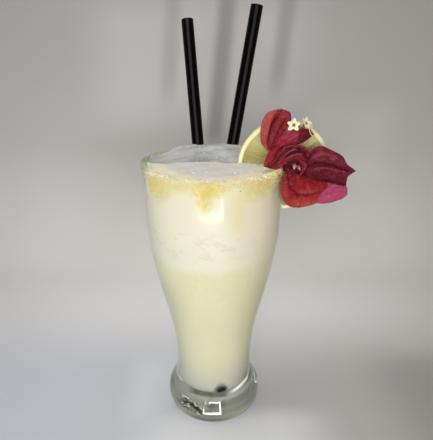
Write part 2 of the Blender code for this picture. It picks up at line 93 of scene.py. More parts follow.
def smoothstep(value: np.ndarray, low: float, high: float) -> np.ndarray:
    """Rises softly from 0 at low to 1 at high."""
    t = np.clip((np.asarray(value, float) - low) / (high - low), 0.0, 1.0)
    return t * t * (3 - 2 * t)


def ripple(points: np.ndarray, size: float, octaves: int = 3) -> np.ndarray:
    """Smooth noise of about -1 to 1 at rows of points, with its largest swell size millimetres wide."""
    return np.array([noise.fractal(Vector(p) / size, 1.0, 2.0, octaves) for p in points])


def all_round(count: int) -> np.ndarray:
    """Angles of even steps round a circle."""
    return np.linspace(0, 2 * np.pi, count, endpoint=False)


def hump(off: np.ndarray, half: float, power: int = 2) -> np.ndarray:
    """1 in the middle, falling softly to 0 beyond the half width."""
    return np.exp(-((off / half) ** power))


def off_angle(degrees: np.ndarray, middle: float) -> np.ndarray:
    """How far angles in degrees lie from the middle one, the short way round."""
    return (degrees - middle + 180.0) % 360.0 - 180.0


def unit(vectors: np.ndarray) -> np.ndarray:
    """Vectors of length one along the given ones."""
    return vectors / np.maximum(np.linalg.norm(vectors, axis=-1, keepdims=True), 1e-9)


@dataclass(frozen=True)
class View:
    """Where the photograph was taken from: place in mm, dip in degrees, focal length in pixels."""

    place: Place = (1.9, -286.7, 254.5)
    dip: float = 21.65
    focal: float = 480.0
    width: int = 433
    height: int = 440

    def points(self, seen: Points) -> np.ndarray:
        """Finds the points that are seen at picture places.

        Args:
            seen: Rows of column and row in the picture, and the y of the point in millimetres.

        Returns:
            Rows of x, y and z in millimetres.
        """
        column, row, depth = np.asarray(seen, float).T
        right, up = (column - 0.5 * self.width) / self.focal, (0.5 * self.height - row) / self.focal
        tilt = math.radians(self.dip)
        way = np.stack(
            [right, math.cos(tilt) + up * math.sin(tilt), up * math.cos(tilt) - math.sin(tilt)], axis=1
        )
        return np.array(self.place) + way * ((depth - self.place[1]) / way[:, 1])[:, None]


# Meshes


def placed(name: str, data: bpy.types.ID) -> Object:
    """A new object in the scene that shows the data."""
    made = bpy.data.objects.new(name, data)
    bpy.context.collection.objects.link(made)
    return made


def mesh_of(name: str, points: Points, edges: Sequence = (), faces: Sequence = ()) -> bpy.types.Mesh:
    """A mesh from points in millimetres, with its edges or faces as point numbers."""
    mesh = bpy.data.meshes.new(name)
    mesh.from_pydata((np.asarray(points, float) * MM).tolist(), list(edges), [list(face) for face in faces])
    return mesh


def mark(mesh: bpy.types.Mesh, **values: Sequence | np.ndarray) -> None:
    """Gives each point numbers or vectors of its own, by the names that materials and trees read."""
    for name, rows in values.items():
        rows = np.ascontiguousarray(rows, np.float32)
        kind, field = ("FLOAT", "value") if rows.ndim == 1 else ("FLOAT_VECTOR", "vector")
        mesh.attributes.new(name, kind, "POINT").data.foreach_set(field, rows.reshape(-1))


def piece_from(
    name: str,
    points: np.ndarray,
    faces: Sequence,
    finish: Material,
    merge: float = 1e-6,
    sharp: float = 50.0,
    **values: np.ndarray,
) -> Object:
    """Makes a smooth, closed, outward facing object.

    Args:
        name: Name of the piece.
        points: Rows of x, y and z in millimetres.
        faces: Point numbers of each face.
        finish: Material of the whole piece.
        merge: Points nearer than this, in metres, become one.
        sharp: Edges that turn by more than this many degrees stay sharp.
        values: Numbers or vectors of each point, by name.

    Returns:
        The object, at the origin, with its place in its mesh.
    """
    mesh = mesh_of(name, points, (), faces)
    mesh.materials.append(finish)
    mark(mesh, **values)
    return tidy_faces(placed(name, mesh), merge, sharp)


def tidy_faces(thing: Object, merge: float = 1e-6, sharp: float = 50.0) -> Object:
    """Closes doubled points, turns the faces outwards and shades them smooth.

    Args:
        thing: The mesh object.
        merge: Points nearer than this, in metres, become one.
        sharp: Edges that turn by more than this many degrees stay sharp.

    Returns:
        The same object.
    """
    shape = bmesh.new()
    shape.from_mesh(thing.data)
    bmesh.ops.remove_doubles(shape, verts=shape.verts, dist=merge)
    bmesh.ops.recalc_face_normals(shape, faces=shape.faces)
    shape.to_mesh(thing.data)
    shape.free()
    thing.data.shade_smooth()
    thing.data.set_sharp_from_angle(angle=math.radians(sharp))
    return thing


def grid_faces(rows: int, columns: int, ring: bool = False, start: int = 0) -> list[list[int]]:
    """Four-sided faces of a grid of points.

    Args:
        rows: Rows of points.
        columns: Points in a row.
        ring: Whether each row closes on itself.
        start: Number of the first point.

    Returns:
        The faces.
    """
    faces = []
    for i in range(rows - 1):
        for j in range(columns if ring else columns - 1):
            a, b = start + i * columns + j, start + i * columns + (j + 1) % columns
            faces.append([a, b, b + columns, a + columns])
    return faces


def sheet_solid(front: np.ndarray, back: np.ndarray) -> tuple[np.ndarray, list[list[int]]]:
    """Joins two grids of points into a thin closed solid.

    Args:
        front: Points of one side, rows by columns by three.
        back: Points of the other side, in the same order.

    Returns:
        All points, and the faces of both sides and of the edge between them.
    """
    rows, columns = front.shape[:2]
    count = rows * columns
    faces = grid_faces(rows, columns)
    faces += [[count + n for n in reversed(face)] for face in grid_faces(rows, columns)]
    rim = [j for j in range(columns - 1)]
    rim += [i * columns + columns - 1 for i in range(rows - 1)]
    rim += [(rows - 1) * columns + j for j in range(columns - 1, 0, -1)]
    rim += [i * columns for i in range(rows - 1, 0, -1)]
    faces += [[a, count + a, count + b, b] for a, b in zip(rim, rim[1:] + rim[:1])]
    return np.vstack([front.reshape(-1, 3), back.reshape(-1, 3)]), faces


def lofted(rings: Sequence[np.ndarray], start: np.ndarray, end: np.ndarray) -> tuple[np.ndarray, list]:
    """Skins rings of points, with a point that closes each end.

    Args:
        rings: Rings of the same number of points.
        start: The closing point before the first ring.
        end: The closing point after the last ring.

    Returns:
        All points and the faces.
    """
    sides = len(rings[0])
    points = np.vstack([np.asarray(start)[None], *rings, np.asarray(end)[None]])
    faces = grid_faces(len(rings), sides, ring=True, start=1)
    last = len(points) - 1
    for k in range(sides):
        n = (k + 1) % sides
        faces.append([0, 1 + n, 1 + k])
        faces.append([last, last - sides + k, last - sides + n])
    return points, faces


def rings_along(route: np.ndarray, radii: np.ndarray, sides: int) -> list[np.ndarray]:
    """Circles square to a route.

    Args:
        route: Rows of x, y and z along the middle line.
        radii: Radius at each row.
        sides: Points in a circle.

    Returns:
        One ring of points for each row.
    """
    angles = all_round(sides)
    side, rings = np.array([1.0, 0.0, 0.0]), []
    ways = unit(np.gradient(route, axis=0))
    for here, way, radius in zip(route, ways, radii):
        side = unit(side - way * (side @ way))
        other = np.cross(way, side)
        rings.append(here + radius * (np.outer(np.cos(angles), side) + np.outer(np.sin(angles), other)))
    return rings


# Node trees


class Bench:
    """A node tree that is being put together."""

    def __init__(self, tree: bpy.types.NodeTree) -> None:
        """Keeps the tree that the nodes are added to."""
        self.tree = tree

    def node(self, kind: str, inputs: dict | None = None, **settings: object) -> bpy.types.Node:
        """Adds a node.

        Args:
            kind: Type name of the node.
            inputs: Input names or numbers, each with a value or with the socket that feeds it.
            settings: Properties of the node.

        Returns:
            The new node.
        """
        made = self.tree.nodes.new(kind)
        for name, value in settings.items():
            setattr(made, name, value)
        for key, value in (inputs or {}).items():
            self.feed(made.inputs[key], value)
        return made

    def feed(self, socket: Socket, value: object) -> None:
        """Links a socket to an input, or sets the input's own value."""
        if isinstance(value, Socket):
            self.tree.links.new(value, socket)
        else:
            socket.default_value = value

    def math(self, operation: str, *values: object, clamp: bool = False) -> Socket:
        """Adds a sum on numbers and returns its result."""
        made = self.node("ShaderNodeMath", operation=operation, use_clamp=clamp)
        for socket, value in zip(made.inputs, values):
            self.feed(socket, value)
        return made.outputs[0]

    def vector(self, operation: str, *values: object, number: bool = False) -> Socket:
        """Adds a sum on vectors and returns its vector, or its number where that is asked for."""
        made = self.node("ShaderNodeVectorMath", operation=operation)
        for socket, value in zip(made.inputs, values):
            self.feed(socket, value)
        return made.outputs["Value" if number else "Vector"]

    def times(self, *values: Socket | float) -> Socket:
        """The product of several values."""
        result = values[0]
        for value in values[1:]:
            result = self.math("MULTIPLY", result, value)
        return result

    def most(self, *values: Socket | float) -> Socket:
        """The largest of several values."""
        result = values[0]
        for value in values[1:]:
            result = self.math("MAXIMUM", result, value)
        return result

    def rise(self, value: Socket, low: float, high: float, top: float = 1.0, bottom: float = 0.0) -> Socket:
        """Rises softly from bottom, at low, to top, at high."""
        inputs = {"Value": value, "From Min": low, "From Max": high, "To Min": bottom, "To Max": top}
        return self.node("ShaderNodeMapRange", inputs, interpolation_type="SMOOTHSTEP").outputs[0]


class Paint(Bench):
    """A material that is being mixed."""

    def __init__(self, name: str) -> None:
        """Starts an empty material of that name."""
        self.colour: object = (0.0, 0.0, 0.0)
        self.material = bpy.data.materials.new(name)
        self.material.use_nodes = True
        super().__init__(self.material.node_tree)
        self.tree.nodes.clear()
        self.place = self.node("ShaderNodeTexCoord").outputs["Object"]

    def mix(self, share: object, first: object, second: object, how: str = "MIX") -> Socket:
        """Mixes two colours.

        Args:
            share: How much of the second one shows.
            first: A colour or a socket.
            second: A colour or a socket.
            how: Blend type.

        Returns:
            The mixed colour.
        """
        made = self.node("ShaderNodeMix", data_type="RGBA", blend_type=how)
        self.feed(made.inputs[0], share)
        for socket, value in ((made.inputs[6], first), (made.inputs[7], second)):
            self.feed(socket, (*value, 1.0) if isinstance(value, tuple) else value)
        return made.outputs[2]

    def lay(self, share: object, tone: object) -> None:
        """Lays a share of a tone over the colour so far."""
        self.colour = self.mix(share, self.colour, tone)

    def noise(
        self, scale: float, detail: float = 3.0, place: Socket | None = None, twist: float = 0.0
    ) -> Socket:
        """Cloudy noise from 0 to 1, with features of about one over scale metres."""
        inputs = {"Vector": place or self.place, "Scale": scale, "Detail": detail, "Distortion": twist}
        return self.node("ShaderNodeTexNoise", inputs).outputs[0]

    def cells(self, scale: float, place: Socket | None = None, feature: str = "F1") -> Socket:
        """Distance to the nearest cell's middle or edge."""
        inputs = {"Vector": place or self.place, "Scale": scale}
        return self.node("ShaderNodeTexVoronoi", inputs, feature=feature).outputs["Distance"]

    def stretched(self, scale: Place, place: Socket | None = None) -> Socket:
        """The place with its axes scaled, so that a pattern is drawn out."""
        return self.node("ShaderNodeMapping", {"Vector": place or self.place, "Scale": scale}).outputs[0]

    def bump(
        self, height: Socket, depth: float, strength: float = 1.0, under: Socket | None = None
    ) -> Socket:
        """Turns a height from 0 to 1 into relief of a depth in millimetres."""
        inputs = {"Height": height, "Strength": strength, "Distance": depth * MM}
        if under is not None:
            inputs["Normal"] = under
        return self.node("ShaderNodeBump", inputs).outputs[0]

    def near(self, value: Socket, middle: Socket | float, edge: float, full: float = 0.0) -> Socket:
        """1 where the value is within full of the middle, 0 beyond the edge."""
        return self.rise(self.math("ABSOLUTE", self.math("SUBTRACT", value, middle)), edge, full)

    def ramp(self, value: Socket, low: float, high: float, top: float = 1.0, bottom: float = 0.0) -> Socket:
        """As rise does, between two places in millimetres."""
        return self.rise(value, low * MM, high * MM, top, bottom)

    def band(self, value: Socket, middle: float, edge: float, full: float = 0.0) -> Socket:
        """As near does, in millimetres."""
        return self.near(value, middle * MM, edge * MM, full * MM)

    def read(self, name: str) -> Socket:
        """The number that the piece gives each point by that name."""
        return self.node("ShaderNodeAttribute", attribute_name=name).outputs["Fac"]

    def surface(self, colour: object, rough: object, **more: object) -> Socket:
        """Adds the main shader.

        Args:
            colour: Base colour or a socket.
            rough: Roughness or a socket.
            more: Further inputs, with underscores for the spaces in their names.

        Returns:
            The shader's output.
        """
        inputs = {"Base Color": (*colour, 1.0) if isinstance(colour, tuple) else colour, "Roughness": rough}
        inputs.update({key.replace("_", " "): value for key, value in more.items()})
        return self.node("ShaderNodeBsdfPrincipled", inputs).outputs[0]

    def finished(self, rough: object, **more: object) -> Material:
        """Ends the material with the main shader in the colour so far."""
        return self.done(self.surface(self.colour, rough, **more))

    def parted(self, place: Socket | None = None) -> list[Socket]:
        """The x, y and z of the place, in metres."""
        made = self.node("ShaderNodeSeparateXYZ", {0: place or self.place})
        return [made.outputs[i] for i in range(3)]

    def done(self, shader: Socket) -> Material:
        """Ends the material with a shader and returns it."""
        self.node("ShaderNodeOutputMaterial", {"Surface": shader})
        return self.material

    def clear_to_lamps(self, body: Socket, tint: Colour) -> Material:
        """Ends the material with a shader that lamps and bounced light pass straight, tinted."""
        path = self.node("ShaderNodeLightPath")
        lamp_or_bounce = self.math("MAXIMUM", path.outputs["Is Shadow Ray"], path.outputs["Is Diffuse Ray"])
        clear = self.node("ShaderNodeBsdfTransparent", {"Color": (*tint, 1.0)})
        return self.done(
            self.node("ShaderNodeMixShader", {0: lamp_or_bounce, 1: body, 2: clear.outputs[0]}).outputs[0]
        )


class Growth(Bench):
    """A Geometry Nodes tree with named inputs, which ends in plain meshes with one material."""

    def __init__(self, name: str, **sizes: float | int) -> None:
        """Starts a tree.

        Args:
            name: Name of the tree.
            sizes: Named inputs with their usual values.
        """
        super().__init__(bpy.data.node_groups.new(name, "GeometryNodeTree"))
        face = self.tree.interface
        face.new_socket("Geometry", in_out="INPUT", socket_type="NodeSocketGeometry")
        face.new_socket("Geometry", in_out="OUTPUT", socket_type="NodeSocketGeometry")
        for size, value in sizes.items():
            kind = "NodeSocketInt" if isinstance(value, int) else "NodeSocketFloat"
            face.new_socket(size, in_out="INPUT", socket_type=kind).default_value = value
        given = self.node("NodeGroupInput")
        self.source = given.outputs["Geometry"]
        self.size = {size: given.outputs[size] for size in sizes}

    def draw(self, low: object, high: object, seed: int, vector: bool = False) -> Socket:
        """A random number or vector for each point, between two bounds."""
        kind = "FLOAT_VECTOR" if vector else "FLOAT"
        made = self.node("FunctionNodeRandomValue", data_type=kind)
        first = 0 if vector else 2
        self.feed(made.inputs[first], low)
        self.feed(made.inputs[first + 1], high)
        self.feed(made.inputs["Seed"], seed)
        return made.outputs[0 if vector else 1]

    def read(self, name: str) -> Socket:
        """The number that each point of the mesh has by that name."""
        return self.node("GeometryNodeInputNamedAttribute", {"Name": name}, data_type="FLOAT").outputs[0]

    def scatter(
        self, thing: Socket, size: Socket, density: Socket, apart: object = None, turn: object = None
    ) -> Socket:
        """Strews copies of a thing over the tree's mesh.

        Args:
            thing: Mesh of one of them.
            size: Scale of each.
            density: How many a square metre holds at most.
            apart: Least distance between two, or None where they may touch.
            turn: Rotation of each, or None where they stand alike.

        Returns:
            The instances.
        """
        inputs = {
            "Mesh": self.source,
            "Seed": self.size["Seed"],
            "Density" if apart is None else "Density Max": density,
        }
        if apart is not None:
            inputs["Distance Min"] = apart
        method = "RANDOM" if apart is None else "POISSON"
        spots = self.node("GeometryNodeDistributePointsOnFaces", inputs, distribute_method=method)
        inputs = {"Points": spots.outputs["Points"], "Instance": thing, "Scale": size}
        if turn is not None:
            inputs["Rotation"] = turn
        return self.node("GeometryNodeInstanceOnPoints", inputs).outputs[0]

    def done(self, geometry: Socket, finish: Material) -> None:
        """Ends the tree: the instances become meshes and take the material."""
        real = self.node("GeometryNodeRealizeInstances", {"Geometry": geometry})
        painted = self.node("GeometryNodeSetMaterial", {"Geometry": real.outputs[0], "Material": finish})
        self.node("NodeGroupOutput", {0: painted.outputs[0]})

    def grow(self, name: str, bed: bpy.types.Mesh) -> Object:
        """Runs the tree on a mesh and keeps the result as a plain mesh in an object of that name."""
        made = placed(name, bed)
        made.modifiers.new(name, "NODES").node_group = self.tree
        graph = bpy.context.evaluated_depsgraph_get()
        mesh = bpy.data.meshes.new_from_object(made.evaluated_get(graph))
        mesh.name = name
        made.modifiers.clear()
        made.data = mesh
        return made


def turned(name: str, section: Points, sides: int, finish: Material) -> Object:
    """Turns a section round the Z axis by Geometry Nodes, as a lathe would.

    Args:
        name: Name of the piece.
        section: Pairs of radius and height in millimetres.
        sides: Steps round the axis.
        finish: Material of the piece.

    Returns:
        The closed piece.
    """
    tree = Growth(name + "_lathe", Sides=sides, Steps=len(section))
    corners = tree.math("ADD", tree.size["Sides"], 1)
    grid = tree.node("GeometryNodeMeshGrid", {"Vertices X": corners, "Vertices Y": tree.size["Steps"]})
    index = tree.node("GeometryNodeInputIndex").outputs[0]
    column = tree.math("FLOOR", tree.math("DIVIDE", index, tree.size["Steps"]))
    row = tree.math("MODULO", index, tree.size["Steps"])
    angle = tree.math("DIVIDE", tree.times(column, 2 * math.pi), tree.size["Sides"])
    spot = tree.node("GeometryNodeInputPosition").outputs[0]
    read = tree.node("GeometryNodeSampleIndex", {"Geometry": tree.source}, data_type="FLOAT_VECTOR")
    tree.feed(read.inputs["Value"], spot)
    tree.feed(read.inputs["Index"], row)
    x_y_z = tree.node("ShaderNodeSeparateXYZ", {0: read.outputs[0]})
    along_x = tree.times(x_y_z.outputs[0], tree.math("COSINE", angle))
    along_y = tree.times(x_y_z.outputs[0], tree.math("SINE", angle))
    there = tree.node("ShaderNodeCombineXYZ", {0: along_x, 1: along_y, 2: x_y_z.outputs[2]})
    moved = tree.node(
        "GeometryNodeSetPosition", {"Geometry": grid.outputs["Mesh"], "Position": there.outputs[0]}
    )
    closed = tree.node("GeometryNodeMergeByDistance", {"Geometry": moved.outputs[0], "Distance": 1e-6})
    tree.done(closed.outputs[0], finish)
    edges = [(i, i + 1) for i in range(len(section) - 1)]
    line = mesh_of(name + "_section", [(r, 0.0, z) for r, z in section], edges)
    return tidy_faces(tree.grow(name, line))


# Finishes


@dataclass(frozen=True)
class ClearGlass:
    """Cast glass, green grey where it is thick in the foot, which lets lamps through to the drink; the foot
    carries painted light and shade.
    """

    tint: Colour = (0.955, 0.965, 0.950)
    thick: Colour = (0.535, 0.58, 0.42)
    shady: Colour = (0.35, 0.37, 0.32)
    lit_patch: Colour = (0.80, 0.83, 0.78)
    under: Colour = (0.30, 0.32, 0.29)
    line: Colour = (0.10, 0.11, 0.08)
    band_shade: Colour = (0.17, 0.18, 0.16)
    pale: Colour = (0.86, 0.89, 0.84)
    let_through: Colour = (0.86, 0.88, 0.86)
    flaw_highlight: Colour = (0.98, 1.0, 0.96)
    gleam: Colour = (0.93, 0.94, 0.90)
    flaw_reflection: Colour = (0.014, 0.016, 0.007)
    straw_end: Colour = (0.02, 0.025, 0.02)
    clean: Colour = (1.0, 1.0, 1.0)
    quiet: Colour = (0.12, 0.12, 0.12)
    thin_bend: float = 1.02
    swell: float = 0.05
    # The polished facet in the foot's front: its lean in degrees at the bottom and how much that grows per mm
    facet_lean: float = 24.72
    facet_turn: float = 0.4146

    def facet(self, paint: Paint) -> Socket:
        """The normal of the polished facet, which leans more the higher it is."""
        x, y, z = paint.parted()
        flat = paint.node("ShaderNodeCombineXYZ", {0: paint.times(x, 0.88), 1: y}).outputs[0]
        growth = math.radians(self.facet_turn) / MM
        lean = paint.math("MULTIPLY_ADD", z, growth, math.radians(self.facet_lean))
        lean = paint.math("MULTIPLY_ADD", paint.math("SUBTRACT", paint.noise(330, 1), 0.5), 0.016, lean)
        out = paint.node("ShaderNodeVectorMath", {0: paint.vector("NORMALIZE", flat)}, operation="SCALE")
        paint.feed(out.inputs["Scale"], paint.math("COSINE", lean))
        rise = paint.node("ShaderNodeCombineXYZ", {2: paint.math("SINE", lean)}).outputs[0]
        way = {0: paint.vector("ADD", out.outputs[0], rise)}
        spaces = {"vector_type": "NORMAL", "convert_from": "OBJECT", "convert_to": "WORLD"}
        return paint.node("ShaderNodeVectorTransform", way, **spaces).outputs[0]

    def marks(self, paint: Paint) -> tuple[Socket, Socket]:
        """Where the flaw's painted dark reflection at the left of the foot lies, and the painted highlights
        along it.
        """
        x, y, z = paint.parted()
        wander = paint.math("MULTIPLY_ADD", paint.noise(300, 3, None, 0.6), 5.6 * MM, -2.8 * MM)
        path = paint.math("ADD", paint.ramp(x, -18, -7, 12.6 * MM, 16.4 * MM), wander)
        off = paint.math("SUBTRACT", z, path)
        sides = paint.times(paint.ramp(x, -24, -21.5), paint.ramp(x, -6.5, -8.5), paint.ramp(y, -8, -14))
        dots = paint.times(
            paint.rise(paint.noise(640, 1), 0.51, 0.56),
            paint.band(z, 12.4, 3, 1.5),
            paint.ramp(x, -10, -13),
            0.8,
        )
        width = paint.rise(paint.noise(420, 2), 0.35, 0.65, 2.5 * MM, 0.7 * MM)
        flaw_reflection = paint.rise(paint.math("DIVIDE", paint.math("ABSOLUTE", off), width), 1, 0.55)
        dark = paint.most(flaw_reflection, dots)
        broken = paint.rise(paint.noise(520, 2, None, 0.4), 0.42, 0.50)
        painted_light = paint.most(paint.band(off, -2.6, 0.6), paint.band(off, 2.5, 0.45))
        painted_light = paint.times(painted_light, broken)
        return paint.times(dark, sides), paint.times(painted_light, sides)

    def gleams(self, paint: Paint, turn: Socket) -> Socket:
        """Painted highlights: the pale crescents in the foot, beside the bowl."""
        z = paint.parted()[2]
        bow = paint.math(
            "ADD", paint.rise(turn, 20, 60, 26.6 * MM, 24.3 * MM), paint.rise(turn, 58, 78, 5 * MM)
        )
        right = paint.times(
            paint.near(z, bow, 1.5 * MM, 0.5 * MM), paint.rise(turn, 14, 40), paint.rise(turn, 84, 76)
        )
        left = paint.times(paint.band(z, 26.2, 1.6, 0.4), paint.rise(turn, -46, -56), 0.4)
        return paint.most(right, paint.times(left, paint.rise(turn, -94, -84)))

    def thick_glass(self, paint: Paint, turn: Socket, dark: Socket, painted_light: Socket) -> Socket:
        """The colour of the foot: thick glass greener low down, with painted light, painted shade and the
        flaw's marks.
        """
        x, y, z = paint.parted()
        paint.colour = paint.mix(paint.ramp(z, 30, 12), self.tint, self.thick)
        # Painted shade on the right side of the foot.
        side = paint.times(paint.rise(turn, 40, 56), paint.rise(turn, 120, 95), paint.ramp(z, 34, 28))
        paint.lay(paint.times(side, 0.8), self.shady)
        # A painted patch of light on the right, beside the bowl.
        lit_patch = paint.times(paint.near(turn, 36, 24, 10), paint.ramp(z, 21, 22.5), paint.ramp(z, 29, 25))
        paint.lay(paint.times(lit_patch, 0.8), self.lit_patch)
        # A painted band of shade under the bowl, and a painted pale ring of light below it.
        ring = paint.math("MULTIPLY_ADD", paint.noise(60, 2), 1.6 * MM, z)
        ring = paint.math("SUBTRACT", ring, paint.rise(turn, 15, 55, 2 * MM))
        band_shade = paint.times(paint.ramp(ring, 23.2, 24), paint.ramp(z, 27, 25), paint.near(turn, -7, 36, 20))
        paint.lay(paint.times(band_shade, 0.95), self.band_shade)
        pale = paint.times(paint.band(ring, 21.6, 1.2, 0.4), paint.ramp(x, -12, 6, 1, 0.3))
        paint.lay(pale, self.pale)
        # A painted dark shadow line low in the foot, and painted shadow at its base.
        edge = paint.times(paint.ramp(z, 3.8, 4.8), paint.ramp(z, 8.2, 6.8))
        paint.lay(paint.times(edge, paint.band(x, -4, 22, 6), 0.66), self.line)
        paint.lay(paint.ramp(z, 4, 1), self.under)
        # The flaw's painted highlights.
        paint.lay(painted_light, self.flaw_highlight)
        straw_end = paint.times(paint.band(x, 5.6, 4.6, 1.4), paint.band(z, 27.3, 2.7, 0.6))
        paint.lay(paint.times(straw_end, paint.rise(y, 0, -8 * MM), 0.9), self.straw_end)
        # The flaw's painted dark reflection.
        return paint.mix(dark, paint.colour, self.flaw_reflection)

    def mixed(self) -> Material:
        """Returns the material."""
        paint = Paint("clear_glass")
        x, y, z = paint.parted()
        turn = paint.math("DEGREES", paint.math("ARCTAN2", x, paint.times(y, -1)))
        dark, painted_light = self.marks(paint)
        flow = paint.noise(45, 1, paint.stretched((1, 1, 0.45)))
        wave = paint.bump(paint.math("ADD", dark, painted_light), 0.15, 0.6, paint.bump(flow, self.swell, 0.5))
        behind = paint.node("ShaderNodeNewGeometry").outputs["Backfacing"]
        front = paint.math("SUBTRACT", 1, behind)
        # The bend falls to nearly nothing up the thin wall, through which the drink shows as it is
        thin = paint.math("ADD", paint.ramp(z, 60, 100, 0, 0.40), paint.ramp(z, 100, 165, 0, 0.08))
        thin = paint.times(thin, paint.math("SUBTRACT", 1, paint.times(behind, paint.ramp(z, 36, 40))))
        thin = paint.most(thin, paint.ramp(z, 174.5, 176.5, 0.48))
        facet = paint.times(front, paint.ramp(z, 10.8, 11.4), paint.ramp(z, 21.2, 20.4))
        worn = paint.times(paint.ramp(x, -2.6, -3.6), paint.ramp(z, 14.8, 15.8))
        facet = paint.times(facet, paint.ramp(y, -16, -22), paint.rise(worn, 0, 1, 0.3, 1))
        facet = paint.times(facet, paint.rise(paint.times(dark, paint.ramp(x, -7, -9)), 0.6, 0))
        # Painted highlights: the crescents and the flaw's lines, laid on as a pale colour that lets less
        # light through.
        gleam = paint.most(self.gleams(paint, turn), paint.times(painted_light, 0.8))
        gleam = paint.times(gleam, front)
        quiet = paint.times(front, paint.ramp(z, 20, 20.8), paint.ramp(z, 30, 27))
        quiet = paint.most(quiet, dark)
        polished = paint.node("ShaderNodeMix", data_type="VECTOR")
        low = paint.math("LESS_THAN", z, 40 * MM)
        for socket, value in ((0, low), (4, wave), (5, self.facet(paint))):
            paint.feed(polished.inputs[socket], value)
        shine = paint.times(paint.ramp(z, 90, 135), paint.ramp(z, 175, 169))
        body = paint.surface(
            paint.mix(gleam, self.thick_glass(paint, turn, dark, painted_light), self.gleam),
            0.0,
            Transmission_Weight=paint.times(paint.ramp(z, 80, 130, 1, 0.90), paint.rise(gleam, 0, 1, 0.1, 1)),
            IOR=paint.math("ADD", thin, self.thin_bend),
            Specular_Tint=paint.mix(quiet, self.clean, self.quiet),
            Normal=wave,
            Coat_Weight=paint.most(facet, shine),
            Coat_IOR=paint.rise(facet, 0, 1, 3.2, 1.65),
            Coat_Roughness=paint.ramp(z, 30, 60, 0.13, 0.02),
            Coat_Normal=polished.outputs[1],
        )
        return paint.clear_to_lamps(body, self.let_through)


@dataclass(frozen=True)
class Satin:
    """Black paperboard straw with a satin coat, fine wound grain and a painted highlight down its front."""

    colour: Colour = srgb(7, 6, 6)
    worn: Colour = srgb(20, 19, 20)
    gleam: Colour = srgb(88, 86, 87)
    rough: float = 0.27

    def mixed(self) -> Material:
        """Returns the material."""
        paint = Paint("straw_black")
        grain = paint.noise(900, 4, paint.stretched((1, 1, 0.12)))
        dust = paint.rise(paint.noise(140, 5), 0.5, 0.85)
        paint.colour = paint.mix(paint.times(dust, 0.5), self.colour, self.worn)
        # A painted highlight down the side of the straw that faces -Y.
        facing = paint.read("facing")
        paint.lay(paint.rise(facing, 0.955, 1, 0.26), self.gleam)
        rough = paint.rise(grain, 0.2, 0.8, self.rough + 0.1, self.rough - 0.04)
        relief = paint.bump(grain, 0.02, 0.5)
        return paint.finished(rough, Normal=relief, Specular_IOR_Level=0.11)


